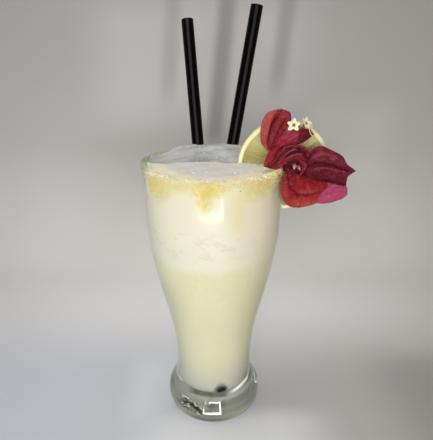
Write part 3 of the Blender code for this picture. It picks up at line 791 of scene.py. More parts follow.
@dataclass(frozen=True)
class DrinkFinish:
    """Cloudy lemonade that turns into froth with fine ice above it, by height."""

    low: Colour = srgb(181, 184, 172)
    body: Colour = srgb(225, 219, 175)
    top: Colour = srgb(234, 228, 187)
    icy: Colour = srgb(241, 235, 213)
    foam: Colour = srgb(241, 233, 209)
    crest: Colour = srgb(240, 232, 206)
    matt: Colour = srgb(221, 217, 208)
    streak: Colour = srgb(206, 197, 172)
    lit_side: Colour = srgb(252, 238, 214)
    sunny: Colour = srgb(238, 226, 166)
    wet: Colour = srgb(172, 172, 172)
    damp: Colour = srgb(188, 189, 188)
    smudge: Colour = srgb(120, 120, 122)
    level: float = 121.5
    ice_from: float = 126.0
    ice_to: float = 152.0
    tip_dark: Colour = srgb(16, 18, 15)
    tip_shift: Place = (0.7, -2.2, -2.3)
    right_side_shade: Colour = srgb(198, 191, 152)
    side_shade: Colour = srgb(150, 152, 132)

    def column(self, paint: Paint) -> Socket:
        """The colour of the drink by height, with a soft, uneven border under the froth."""
        height = paint.parted()[2]
        drift = paint.times(paint.math("SUBTRACT", paint.noise(60, 3), 0.5), 10 * MM)
        uneven = paint.math("ADD", height, drift)
        paint.colour = paint.mix(paint.ramp(height, 18, 58), self.low, self.body)
        paint.lay(paint.ramp(height, 60, 118), self.top)
        border = paint.ramp(uneven, self.level - 4, self.level + 4.5)
        paint.lay(border, self.icy)
        return paint.mix(paint.ramp(uneven, 140, 158), paint.colour, self.foam)

    def lemonade(self, tip: Vector, way: Vector, radius: float) -> Material:
        """Mixes the lemonade, with painted shade towards its sides, and dark where a straw's end nears the
        wall.

        Args:
            tip: Middle of the straw's lower end, in millimetres.
            way: Direction of the straw, upwards.
            radius: Radius of the straw in millimetres.

        Returns:
            The material.
        """
        paint = Paint("lemonade_cloudy")
        paint.colour = self.column(paint)
        off = paint.vector("SUBTRACT", paint.place, tuple((tip + Vector(self.tip_shift)) * MM))
        along = paint.most(paint.vector("DOT_PRODUCT", off, tuple(way), number=True), 0)
        scaled = paint.node("ShaderNodeVectorMath", {0: tuple(way)}, operation="SCALE")
        paint.feed(scaled.inputs["Scale"], along)
        apart = paint.vector("DISTANCE", off, scaled.outputs[0], number=True)
        x, _, z = paint.parted()
        # Painted shade: the lemonade darker at both sides of its lower part, and more so low at the right.
        fading = paint.ramp(z, 118, 96)
        paint.lay(paint.times(paint.ramp(x, 6, 24, 0.27), fading), self.right_side_shade)
        paint.lay(paint.times(paint.ramp(x, -8, -26, 0.22), fading), self.side_shade)
        deep_shade = paint.times(paint.ramp(x, 8, 19, 0.30), paint.ramp(z, 46, 28))
        paint.lay(deep_shade, self.side_shade)
        clots = paint.rise(paint.noise(300, 4), 0.45, 0.75)
        paint.lay(paint.times(clots, 0.12), self.low)
        shade = paint.ramp(apart, radius + 2.7, radius + 0.2)
        shade = paint.math("POWER", shade, 1.3)
        paint.lay(shade, self.tip_dark)
        light = paint.rise(shade, 0.5, 0)
        gloss = paint.times(light, 0.5)
        depth = paint.times(light, 0.15)
        return paint.finished(0.45, Specular_IOR_Level=gloss, Subsurface_Weight=depth, Subsurface_Scale=0.004)

    def froth(self) -> Material:
        """Mixes the froth: ice streaks at its foot, painted light on its right side, and wet grey foam in the
        rear half of its top.
        """
        paint = Paint("froth_foam")
        x, y, z = paint.parted()
        paint.colour = self.column(paint)
        chips = paint.noise(105, 4, paint.stretched((1, 1, 1.8)), 1.1)
        lower = paint.ramp(z, self.ice_from, self.ice_from + 8)
        band = paint.times(lower, paint.ramp(z, self.ice_to, self.ice_to - 9))
        streaks = paint.times(paint.rise(chips, 0.50, 0.62), band)
        # Painted light on the right side of the froth.
        painted_light = paint.times(paint.ramp(x, 8, 36, 0.7), paint.ramp(z, 120, 150))
        paint.lay(painted_light, self.lit_side)
        paint.lay(paint.times(streaks, paint.ramp(x, 10, 24, 0.08, 0.28)), self.streak)
        turn = paint.math("ABSOLUTE", paint.math("ADD", paint.math("ARCTAN2", y, x), math.radians(70)))
        run = paint.times(paint.rise(turn, math.radians(9), 0), paint.ramp(z, 144, 154))
        run = paint.times(run, paint.ramp(z, 174, 168))
        paint.lay(paint.times(run, 0.55), self.sunny)
        upper = paint.ramp(z, 176.4, 177)
        flat = paint.node("ShaderNodeCombineXYZ", {0: x, 1: y}).outputs[0]
        reach = paint.vector("LENGTH", flat, number=True)
        crest = paint.mix(paint.ramp(reach, 26, 33), self.matt, self.crest)
        paint.lay(paint.times(upper, 0.9), crest)
        wander = paint.times(paint.math("SUBTRACT", paint.noise(90, 2), 0.5), 3 * MM)
        rear = paint.ramp(paint.math("ADD", y, wander), -1.2, 1.2)
        wet = paint.times(upper, rear)
        blotch = paint.rise(paint.noise(120, 4), 0.35, 0.7)
        grey = paint.mix(blotch, self.wet, self.damp)
        spot = paint.times(paint.band(x, -8.4, 10, 3), paint.band(y, 5, 9, 3), 0.6)
        grey = paint.mix(spot, grey, self.smudge)
        paint.lay(paint.times(wet, 0.9), grey)
        pores = paint.cells(750)
        relief = paint.bump(pores, 0.10, 0.4)
        relief = paint.bump(paint.noise(260, 4), 0.2, 0.4, relief)
        rough = paint.rise(wet, 0, 1, 0.16, 0.55)
        return paint.finished(rough, Normal=relief, Subsurface_Weight=0.12, Subsurface_Scale=0.003)


@dataclass(frozen=True)
class CitrusFinish:
    """Rind, pith and pulp of a pale lime, by distance from the middle of the wheel."""

    rind: Colour = srgb(150, 160, 62)
    zest: Colour = srgb(234, 234, 164)
    pith: Colour = srgb(242, 238, 196)
    pulp: Colour = srgb(172, 157, 100)
    juice: Colour = srgb(154, 141, 82)
    skin: Colour = srgb(186, 174, 120)
    lit: Colour = srgb(220, 212, 158)

    def wheel(self, centre: Vector, pith_at: float, rind_at: float, rim_at: float, rays: int) -> Material:
        """Mixes the wheel's material.

        Args:
            centre: Middle of the wheel in millimetres.
            pith_at: Radius where the pith starts.
            rind_at: Radius where the zest starts.
            rim_at: Outer radius.
            rays: Number of segments.

        Returns:
            The material.
        """
        paint = Paint("citrus_cut")
        off = paint.vector("SUBTRACT", paint.place, tuple(centre * MM))
        x, _, z = paint.parted(off)
        reach = paint.math("SQRT", paint.math("ADD", paint.math("POWER", x, 2), paint.math("POWER", z, 2)))
        angle = paint.math("ARCTAN2", z, x)
        turn = paint.times(angle, rays / (2 * math.pi))
        off_ray = paint.math("PINGPONG", turn, 0.5)
        wide = paint.times(off_ray, reach)
        wall = paint.ramp(wide, 0.28, 0.10)
        core = paint.ramp(reach, 2.4, 1.4)
        fibres = paint.node("ShaderNodeCombineXYZ", {0: paint.times(angle, 7), 1: reach}).outputs[0]
        grain = paint.noise(9, 3, paint.stretched((1, 25, 1), fibres))
        flesh = paint.mix(paint.rise(grain, 0.35, 0.65), self.juice, self.pulp)
        paint.colour = paint.mix(paint.most(wall, core), flesh, self.skin)
        paint.lay(paint.ramp(z, 5, 16, 0.62), self.lit)
        soft = paint.math("ADD", reach, paint.times(paint.noise(500), 0.5 * MM))
        paint.lay(paint.ramp(soft, pith_at - 0.1, pith_at + 0.5), self.pith)
        paint.lay(paint.ramp(soft, rind_at, rind_at + 1), self.zest)
        skin = paint.ramp(reach, rim_at - 0.35, rim_at - 0.05)
        paint.lay(skin, paint.mix(paint.noise(90), self.rind, self.zest))
        pores = paint.times(paint.rise(paint.cells(800), 0.5, 0.1), skin)
        relief = paint.bump(pores, -0.12, 1, paint.bump(grain, 0.15, 0.5))
        rough = paint.ramp(reach, pith_at - 1, pith_at, 0.5, 0.22)
        return paint.finished(rough, Normal=relief, Subsurface_Weight=0.25, Subsurface_Scale=0.002)

    def vesicles(self) -> Material:
        """Mixes the wet juice sacs."""
        paint = Paint("citrus_juice_sacs")
        z = paint.parted()[2]
        paint.colour = paint.mix(paint.rise(paint.noise(160, 2), 0.35, 0.65), self.pulp, self.skin)
        paint.lay(paint.ramp(z, 182, 193, 0.62), self.lit)
        return paint.finished(0.16, Subsurface_Weight=0.35, Subsurface_Scale=0.002)


@dataclass(frozen=True)
class SugarFinish:
    """Golden syrup, thin in places, and the clear crystals that stick in it."""

    thin: Colour = srgb(244, 230, 150)
    thick: Colour = srgb(236, 213, 124)
    dark_refraction: Colour = srgb(96, 106, 78)
    clear: Colour = srgb(208, 214, 202)
    brown: Colour = srgb(156, 104, 52)
    crystal: Colour = srgb(254, 252, 244)
    golden: Colour = srgb(250, 236, 176)
    let_through: Colour = (0.93, 0.91, 0.84)
    cover: float = 0.66

    def toasting(self, paint: Paint) -> Socket:
        """How brown the sugar is: more of it beside the wheel, at the front right."""
        x, y, _ = paint.parted()
        side = paint.math("SUBTRACT", x, paint.times(y, 0.25))
        patch = paint.rise(paint.noise(160, 3), 0.40, 0.62)
        return paint.times(paint.ramp(side, 38, 47), patch)

    def syrup(self) -> Material:
        """Mixes the syrup film. The piece says how golden the film is by its attribute."""
        paint = Paint("sugar_syrup")
        gold = paint.read("film")
        cloud = paint.math("SUBTRACT", paint.noise(110, 2), 0.5)
        depth = paint.math("MULTIPLY_ADD", cloud, paint.times(gold, 0.7), gold)
        paint.colour = paint.mix(paint.rise(depth, 0.35, 1.2), self.thin, self.thick)
        paint.lay(self.toasting(paint), self.brown)
        mottled = paint.rise(paint.noise(230, 5), 0.36, 0.66, self.cover, 0.7 * self.cover)
        shown = paint.times(paint.rise(depth, 0, 1), mottled)
        relief = paint.bump(paint.noise(420, 3), 0.1, 0.5)
        return paint.finished(0.22, Alpha=shown, Normal=relief, Specular_IOR_Level=0.3)

    def crystals(self) -> Material:
        """Mixes the crystals, some clear and some stained by the syrup, with painted dark refractions in
        them.
        """
        paint = Paint("sugar_crystals")
        x, y, _ = paint.parted()
        front = paint.times(paint.ramp(y, 4, -8), paint.ramp(x, -41, -35))
        ground = paint.mix(front, self.clear, self.crystal)
        stain = paint.times(paint.rise(paint.noise(300, 2), 0.32, 0.60), front, 0.8)
        paint.colour = paint.mix(stain, ground, self.golden)
        # Painted dark refractions: dark flecks in the crystals, more of them towards the back.
        refraction_speck = paint.rise(paint.noise(1500, 1), 0.56, 0.60)
        paint.lay(paint.times(refraction_speck, paint.rise(front, 0, 1, 0.22, 0.9)), self.dark_refraction)
        paint.lay(self.toasting(paint), self.brown)
        through = paint.rise(front, 0, 1, 0.35, 0.6)
        body = paint.surface(paint.colour, 0.12, Transmission_Weight=through, IOR=1.45, Alpha=0.62)
        return paint.clear_to_lamps(body, self.let_through)


class Side(Enum):
    """Which way a zone of colour runs over a bract."""

    ALONG = 0
    ACROSS = 1


@dataclass(frozen=True)
class Zone:
    """A zone of another colour on a bract, which rises from one place to another."""

    side: Side
    start: float
    end: float
    colour: Colour
    share: float = 1.0


@dataclass(frozen=True)
class BractFinish:
    """Papery bract: veins, crinkles, zones of warmer, darker or pinker colour, and painted light and shade.
    """

    name: str
    ground: Colour
    zones: tuple[Zone, ...] = ()
    vein: Colour = srgb(92, 20, 32)
    shade: Colour = srgb(48, 8, 18)
    painted_glow: Colour = srgb(206, 118, 124)
    fade: Colour = srgb(196, 106, 118)

    def mixed(self) -> Material:
        """Returns the material. The piece gives the place on the bract by its attribute."""
        paint = Paint(self.name + "_paper")
        place = paint.node("ShaderNodeAttribute", attribute_name="leaf_place").outputs["Vector"]
        along, across, rib = paint.parted(place)
        shift = paint.times(paint.math("SUBTRACT", paint.noise(140, 3), 0.5), 0.3)
        paint.colour = self.ground
        for zone in self.zones:
            way = paint.math("ADD", along if zone.side is Side.ALONG else across, shift)
            share = paint.rise(way, zone.start, zone.end, zone.share)
            paint.lay(share, zone.colour)
        fade = paint.rise(paint.noise(220, 4), 0.35, 0.7)
        paint.lay(paint.times(fade, 0.09), self.fade)
        # Painted shade and painted highlights along the folds.
        dark = paint.read("leaf_painted_shade")
        light = paint.read("leaf_painted_highlight")
        paint.lay(paint.times(light, 0.6), self.painted_glow)
        paint.lay(paint.times(dark, 0.85), self.shade)
        net = paint.rise(paint.cells(620, feature="DISTANCE_TO_EDGE"), 0.10, 0)
        folds = paint.rise(paint.cells(230, feature="DISTANCE_TO_EDGE"), 0.09, 0)
        # Painted highlights on the crinkles' crests.
        crinkle_highlights = paint.rise(paint.noise(240, 3, None, 1.4), 0.56, 0.72, 0.22)
        paint.lay(crinkle_highlights, self.painted_glow)
        veins = paint.most(paint.times(net, 0.4), paint.times(folds, 0.8), rib)
        paint.lay(paint.times(veins, 0.42), self.vein)
        fine = paint.noise(1500, 4)
        relief = paint.bump(paint.noise(420, 5, None, 0.8), 0.5, 0.85)
        relief = paint.bump(net, 0.10, 0.8, relief)
        relief = paint.bump(folds, -0.25, 0.8, relief)
        relief = paint.bump(fine, 0.03, 0.5, relief)
        rough = paint.rise(fine, 0.2, 0.8, 0.66, 0.48)
        weight = {"Subsurface_Weight": 0.12, "Subsurface_Scale": 0.0015, "Specular_IOR_Level": 0.14}
        return paint.finished(rough, Normal=relief, **weight)


@dataclass(frozen=True)
class StemFinish:
    """Green stem with lighter fibres and warm nodes."""

    green: Colour = srgb(94, 112, 58)
    pale: Colour = srgb(142, 150, 92)
    warm: Colour = srgb(120, 62, 58)

    def mixed(self) -> Material:
        """Returns the material."""
        paint = Paint("stem_green")
        fibre = paint.noise(900, 3, paint.stretched((1, 1, 0.15)))
        paint.colour = paint.mix(paint.rise(fibre, 0.3, 0.7), self.green, self.pale)
        paint.lay(paint.rise(paint.noise(150), 0.5, 0.7, 0.6), self.warm)
        relief = paint.bump(fibre, 0.08, 0.7)
        return paint.finished(0.5, Normal=relief, Subsurface_Weight=0.1, Subsurface_Scale=0.001)


@dataclass(frozen=True)
class StarFinish:
    """Cream star flower with a green throat on a tube that is pink lower down."""

    cream: Colour = srgb(246, 234, 200)
    lobe: Colour = srgb(252, 246, 226)
    throat: Colour = srgb(120, 122, 52)
    tube: Colour = srgb(176, 96, 96)

    def mixed(self) -> Material:
        """Returns the material. The reach is 0 in the throat, 1 at the lobes' ends, below 0 in the tube."""
        paint = Paint("star_cream")
        reach = paint.read("star_reach")
        paint.colour = paint.mix(paint.rise(reach, 0.22, 0.42), self.throat, self.cream)
        paint.lay(paint.rise(reach, 0.7, 1), self.lobe)
        paint.lay(paint.rise(reach, -0.1, -0.45), self.tube)
        paint.lay(paint.times(paint.noise(700), 0.2), self.throat)
        relief = paint.bump(paint.noise(1200, 3), 0.05, 0.6)
        return paint.finished(0.5, Normal=relief, Subsurface_Weight=0.2, Subsurface_Scale=0.001)


@dataclass(frozen=True)
class BudFinish:
    """Pink bud, paler at its tip."""

    pink: Colour = srgb(176, 96, 100)
    pale: Colour = srgb(226, 176, 168)

    def mixed(self) -> Material:
        """Returns the material."""
        paint = Paint("bud_pink")
        y = paint.parted()[1]
        paint.colour = paint.mix(paint.ramp(y, -17, -20), self.pink, self.pale)
        paint.lay(paint.times(paint.noise(900), 0.3), self.pink)
        relief = paint.bump(paint.noise(1600), 0.04, 0.6)
        return paint.finished(0.45, Normal=relief, Subsurface_Weight=0.2, Subsurface_Scale=0.001)


@dataclass(frozen=True)
class StudioFinish:
    """Plain pale card with painted soft lights and shades, deeper in tone towards its top and to the right.
    """

    wall: Colour = srgb(206, 204, 202)
    cool: Colour = srgb(189, 191, 198)
    warm: Colour = srgb(176, 173, 170)
    deep_shade: Colour = srgb(164, 163, 160)
    shaded: Colour = srgb(168, 164, 158)
    painted_shadow: Colour = srgb(122, 118, 114)
    painted_glow: Colour = srgb(228, 228, 231)
    streak: Colour = srgb(138, 136, 134)

    def streaks(self, paint: Paint) -> Socket:
        """Where the soft shades of the straws fall on the backdrop."""
        x, y, z = paint.parted()
        lean = paint.math("MULTIPLY_ADD", z, 0.10, -22 * MM)
        off = paint.math("SUBTRACT", x, lean)
        left = paint.times(paint.band(off, -52, 15, 2), paint.ramp(z, 150, 215), 0.35)
        middle = paint.times(paint.band(off, 8, 17, 2), paint.ramp(z, 110, 140), 0.72)
        right = paint.times(paint.band(off, 76, 16, 2), paint.ramp(z, 165, 215), 0.55)
        return paint.times(paint.most(left, middle, right), paint.rise(y, 0.28, 0.29))

    def mixed(self) -> Material:
        """Returns the material."""
        paint = Paint("studio_card")
        x, y, z = paint.parted()
        # Painted light on the table: cooler on the lit left, warmer and darker to the right, with a painted
        # shadow right of the glass and painted pools of light in front of the foot and left of it.
        table = paint.mix(paint.rise(x, -0.04, 0.12), self.cool, self.warm)
        table = paint.mix(
            paint.times(paint.rise(x, 0.10, 0.165, 0.5), paint.rise(y, 0.075, 0.03)), table, self.painted_shadow
        )
        front = paint.times(paint.near(x, 0.012, 0.086, 0.026), paint.rise(y, -0.006, -0.030), 0.80)
        beside = paint.times(paint.near(x, -0.046, 0.030, 0.006), paint.near(y, 0.004, 0.060, 0.015), 0.36)
        table = paint.mix(paint.most(front, beside), table, self.painted_glow)
        # Painted shade on the backdrop: darker towards its top, at its sides and close behind the glass, with
        # painted lighter patches above the glass and right of it, and the straws' painted shadows.
        up = paint.times(paint.rise(z, 0, 0.34), 0.75)
        wall = paint.mix(up, self.wall, self.deep_shade)
        wall = paint.mix(paint.rise(x, 0.04, 0.30, 0.45), wall, self.shaded)
        wall = paint.mix(paint.rise(x, -0.12, -0.28, 0.22), wall, self.shaded)
        close = paint.times(
            paint.near(x, 0, 0.23, 0.10), paint.rise(z, 0.19, 0.10), paint.rise(y, 0.08, 0.28)
        )
        wall = paint.mix(paint.times(close, paint.rise(x, -0.05, 0.05, 0.62, 0.48)), wall, self.shaded)
        above = paint.times(paint.near(x, -0.016, 0.16, 0.08), paint.near(z, 0.215, 0.10, 0.04), 0.62)
        aside = paint.times(paint.near(x, 0.160, 0.08, 0.03), paint.near(z, 0.125, 0.07, 0.025), 0.6)
        wall = paint.mix(paint.most(above, aside), wall, self.wall)
        wall = paint.mix(self.streaks(paint), wall, self.streak)
        colour = paint.mix(paint.rise(y, 0.13, 0.01), wall, table)
        return paint.done(paint.surface(colour, 0.75))


# Sub-assemblies


def keep(thing: Object, slot: str, *nodes: str) -> Object:
    """Lets a finished piece ride on the body and stand for CAD nodes.

    Args:
        thing: The piece.
        slot: The record's material slot; not used.
        nodes: The CAD nodes that it replaces.

    Returns:
        The same piece.
    """
    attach(thing, BODY)
    if nodes:
        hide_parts(*nodes)
    LOG.info("%s: %d faces", thing.name, len(thing.data.polygons))
    return thing


@dataclass
class Glass:
    """The glass: a heavy foot, a waist and a tall flared bowl with a rounded lip."""

    height: float = 179.5
    foot_flat: float = 25.6
    foot_radius: float = 32.6
    widest_at: float = 11.5
    # Height and radius up the outside, from the widest part of the foot to the rim
    outside: Points = (
        (11.5, 32.6), (16.4, 31.9), (21.6, 29.2), (28, 26.5), (37, 25.6), (52, 26.5), (70, 29.1),
        (93.5, 34.6), (121, 40.3), (148, 43.2), (179.5, 42.8),
    )
    # Height and radius of the hollow, from the bottom of the bowl to the rim
    inside: Points = (
        (15.5, 0), (16.2, 9.8), (18.5, 16.9), (23.4, 20.7), (31.5, 21.7), (46, 22.2), (66, 25), (93.5, 31.6),
        (121, 37.6), (148, 40.5), (179.5, 40.4),
    )
    sides: int = 144
    steps: int = 84
    fine_steps: int = 600

    def radius_at(self, stations: Points, height: np.ndarray | float) -> np.ndarray:
        """The radius of a side of the wall at a height."""
        fine = curve_at(stations, np.linspace(0, 1, self.fine_steps))
        return np.interp(height, fine[:, 0], fine[:, 1])

    def inner(self, height: np.ndarray | float) -> np.ndarray:
        """The radius of the hollow at a height."""
        return self.radius_at(self.inside, height)

    def outer(self, height: np.ndarray | float) -> np.ndarray:
        """The radius of the outside at a height above the widest part of the foot."""
        return self.radius_at(self.outside, height)

    def section(self) -> list[tuple[float, float]]:
        """Radius and height from the underside round the lip to the bottom of the bowl."""
        turn = np.linspace(0, 0.5 * np.pi, 12, endpoint=False)
        bulge = self.foot_radius - self.foot_flat
        foot = [(self.foot_flat + bulge * math.sin(a), self.widest_at * (1 - math.cos(a))) for a in turn]
        wall = [(r, z) for z, r in curve_at(self.outside, np.linspace(0, 1, self.steps))]
        hollow = [(max(r, 0.0), z) for z, r in curve_at(self.inside, np.linspace(1, 0, self.steps))]
        top_out, top_in = wall[-1][0], hollow[0][0]
        half = 0.5 * (top_out - top_in)
        lip_turn = np.linspace(0, np.pi, 9)
        middle = top_out - half
        lip = [(middle + half * math.cos(a), self.height - half + half * math.sin(a)) for a in lip_turn]
        below = self.height - half - 0.3
        wall = [p for p in wall if p[1] < below]
        hollow = [p for p in hollow if p[1] < below]
        hollow[-1] = (0.0, self.inside[0][0])
        return [(0.0, 0.0), (0.5 * self.foot_flat, 0.0), *foot, *wall, *lip, *hollow]

    def build(self) -> None:
        """Makes the glass."""
        made = turned("glass_body", self.section(), self.sides, ClearGlass().mixed())
        keep(made, "clear_glass", "glass")


@dataclass
class Straw:
    """An open straw that leans in the glass."""

    name: str
    crossing: tuple[float, float]
    lean: tuple[float, float]
    low: float
    length: float
    radius: float = 4.0
    wall: float = 0.5
    sides: int = 48

    def way(self) -> Vector:
        """Direction from the lower end to the upper one."""
        return Vector((*self.lean, 1.0)).normalized()

    def tip(self, rim: float) -> Vector:
        """Middle of the lower end."""
        return Vector((*self.at_height(self.low, rim), self.low))

    def at_height(self, height: float, rim: float) -> tuple[float, float]:
        """Where the axis crosses a height."""
        rise = height - rim
        return self.crossing[0] + self.lean[0] * rise, self.crossing[1] + self.lean[1] * rise

    def build(self, rim: float, finish: Material) -> None:
        """Makes the straw.

        Args:
            rim: Height of the glass's rim.
            finish: Material of the straw.
        """
        soft = 0.4 * self.wall
        bore = self.radius - self.wall
        heights = np.linspace(soft, self.length - soft, 24)
        outer = [(self.radius, z) for z in heights]
        top = [(self.radius - 0.3 * soft, self.length - 0.3 * soft), (self.radius - soft, self.length)]
        top += [(bore + soft, self.length), (bore + 0.3 * soft, self.length - 0.3 * soft)]
        foot = [(r, self.length - z) for r, z in reversed(top)]
        section = [*outer, *top, *[(bore, z) for z in reversed(heights)], *foot, outer[0]]
        made = turned(self.name + "_tube", section, self.sides, finish)
        # How squarely each point faces -Y, which places the straw's painted highlight.
        mark(made.data, facing=[-vert.co.y / (self.radius * MM) for vert in made.data.vertices])
        turn = Vector((0, 0, 1)).rotation_difference(self.way()).to_matrix().to_4x4()
        made.data.transform(Matrix.Translation(self.tip(rim) * MM) @ turn)
        keep(made, "straw", self.name)


@dataclass
class Drink:
    """The cloudy lemonade and the froth that fills the glass over it."""

    glass: Glass
    straws: Sequence[Straw]
    level: float = 121.5
    edge: float = 177.4
    crown: float = 1.2
    lump: float = 0.35
    into_wall: float = 0.22
    sides: int = 144
    rings: int = 70
    step_at: float = 0.0
    heap: float = 4.6
    heap_at: float = 29.0
    cling: float = 0.7
    calm: float = 0.4

    def lemonade(self) -> None:
        """Makes the lemonade, which reaches just into the wall of the glass."""
        places = np.linspace(0, 1, 160)
        full = [(z, r) for z, r in curve_at(self.glass.inside, places) if z < self.level - 0.5]
        section = [(0.0, self.glass.inside[0][0] - self.into_wall)]
        section += [(r + self.into_wall, z - 0.5 * self.into_wall) for z, r in full[1:]]
        section += [(float(self.glass.inner(self.level)) + self.into_wall, self.level), (0.0, self.level)]
        left = self.straws[0]
        finish = DrinkFinish().lemonade(left.tip(self.glass.height), left.way(), left.radius)
        keep(turned("lemonade_fill", section, self.sides, finish), "lemonade", "lemonade")

    def top_at(self, x: np.ndarray, y: np.ndarray) -> np.ndarray:
        """The height of the top of the froth: calm in front, heaped and lumpy behind.

        Args:
            x: Places across.
            y: Places back.

        Returns:
            Heights in millimetres.
        """
        reach = float(self.glass.inner(self.edge))
        share = (x * x + y * y) / reach**2
        lumps = np.sin(0.31 * x + 1.3) * np.cos(0.27 * y - 0.4) + np.sin(0.53 * y - 0.21 * x)
        flat = np.stack([x, y, 0 * x], axis=-1).reshape(-1, 3)
        fine = ripple(flat, 7.0, 4).reshape(x.shape)
        behind = smoothstep(y - self.step_at + 1.5 * np.sin(0.12 * x), -0.8, 0.8)
        calm = self.calm + (1 - self.calm) * behind
        height = self.edge + self.crown * (1 - share) + calm * (self.lump * lumps + 0.35 * fine)
        height = height + 0.5 * (1 - behind) * (1 - share**3)
        height = height + self.cling * smoothstep(np.sqrt(share), 0.93, 1.0)
        heap = smoothstep(y, 2.0, self.heap_at) * (1 - 0.35 * smoothstep(y, self.heap_at, reach))
        height = height + self.heap * heap * smoothstep(x, -33.0, -20.0)
        for straw in self.straws:
            sx, sy = straw.at_height(self.edge, self.glass.height)
            gap = np.hypot(x - sx, y - sy) - straw.radius
            height = height + 0.5 * np.exp(-np.maximum(gap, 0.0) / 1.1)
        return np.minimum(height, self.glass.height + self.heap)

    def froth(self) -> None:
        """Makes the froth, with its lumpy top."""
        angles = all_round(self.sides)
        heights = np.linspace(self.level, self.edge, 60)
        rings = []
        for z in heights:
            radius = float(self.glass.inner(z)) + self.into_wall
            rings.append(np.stack([radius * np.cos(angles), radius * np.sin(angles), 0 * angles + z], axis=1))
        reach = float(self.glass.inner(self.edge)) + self.into_wall
        for share in np.linspace(1, 0, self.rings, endpoint=False):
            x, y = reach * share * np.cos(angles), reach * share * np.sin(angles)
            rings.append(np.stack([x, y, self.top_at(x, y)], axis=1))
        middle = np.array([0.0, 0.0, float(self.top_at(np.zeros(1), np.zeros(1))[0])])
        points, faces = lofted(rings, np.array([0.0, 0.0, self.level]), middle)
        keep(piece_from("froth_fill", points, faces, DrinkFinish().froth()), "froth", "froth")

    def bubbles(self) -> None:
        """Grows small bubbles all over the froth by Geometry Nodes."""
        count = 61
        reach = float(self.glass.inner(self.edge)) - 1.0
        line = np.linspace(-reach, reach, count)
        x, y = np.meshgrid(line, line, indexing="ij")
        z = self.top_at(x, y)
        points = np.stack([x, y, z], axis=-1)
        inside = np.hypot(x, y) < reach
        faces = []
        for face in grid_faces(count, count):
            if inside.reshape(-1)[face].all():
                faces.append(face)
        tree = Growth(
            "froth_bubbles_tree", Density=60000.0, Apart=0.0009, Smallest=0.00018, Largest=0.0009, Seed=7
        )
        ball = tree.node("GeometryNodeMeshIcoSphere", {"Radius": 1.0, "Subdivisions": 2})
        share = tree.math("POWER", tree.draw(0.0, 1.0, 11), 3.0)
        spread = tree.math("SUBTRACT", tree.size["Largest"], tree.size["Smallest"])
        size = tree.math("MULTIPLY_ADD", share, spread, tree.size["Smallest"])
        strewn = tree.scatter(ball.outputs[0], size, tree.size["Density"], tree.size["Apart"])
        tree.done(strewn, bpy.data.materials["froth_foam"])
        made = tree.grow("froth_bubbles", mesh_of("froth_bubbles_bed", points.reshape(-1, 3), (), faces))
        made.data.shade_smooth()
        keep(made, "froth")

    def build(self) -> None:
        """Makes the drink."""
        self.lemonade()
        self.froth()
        self.bubbles()


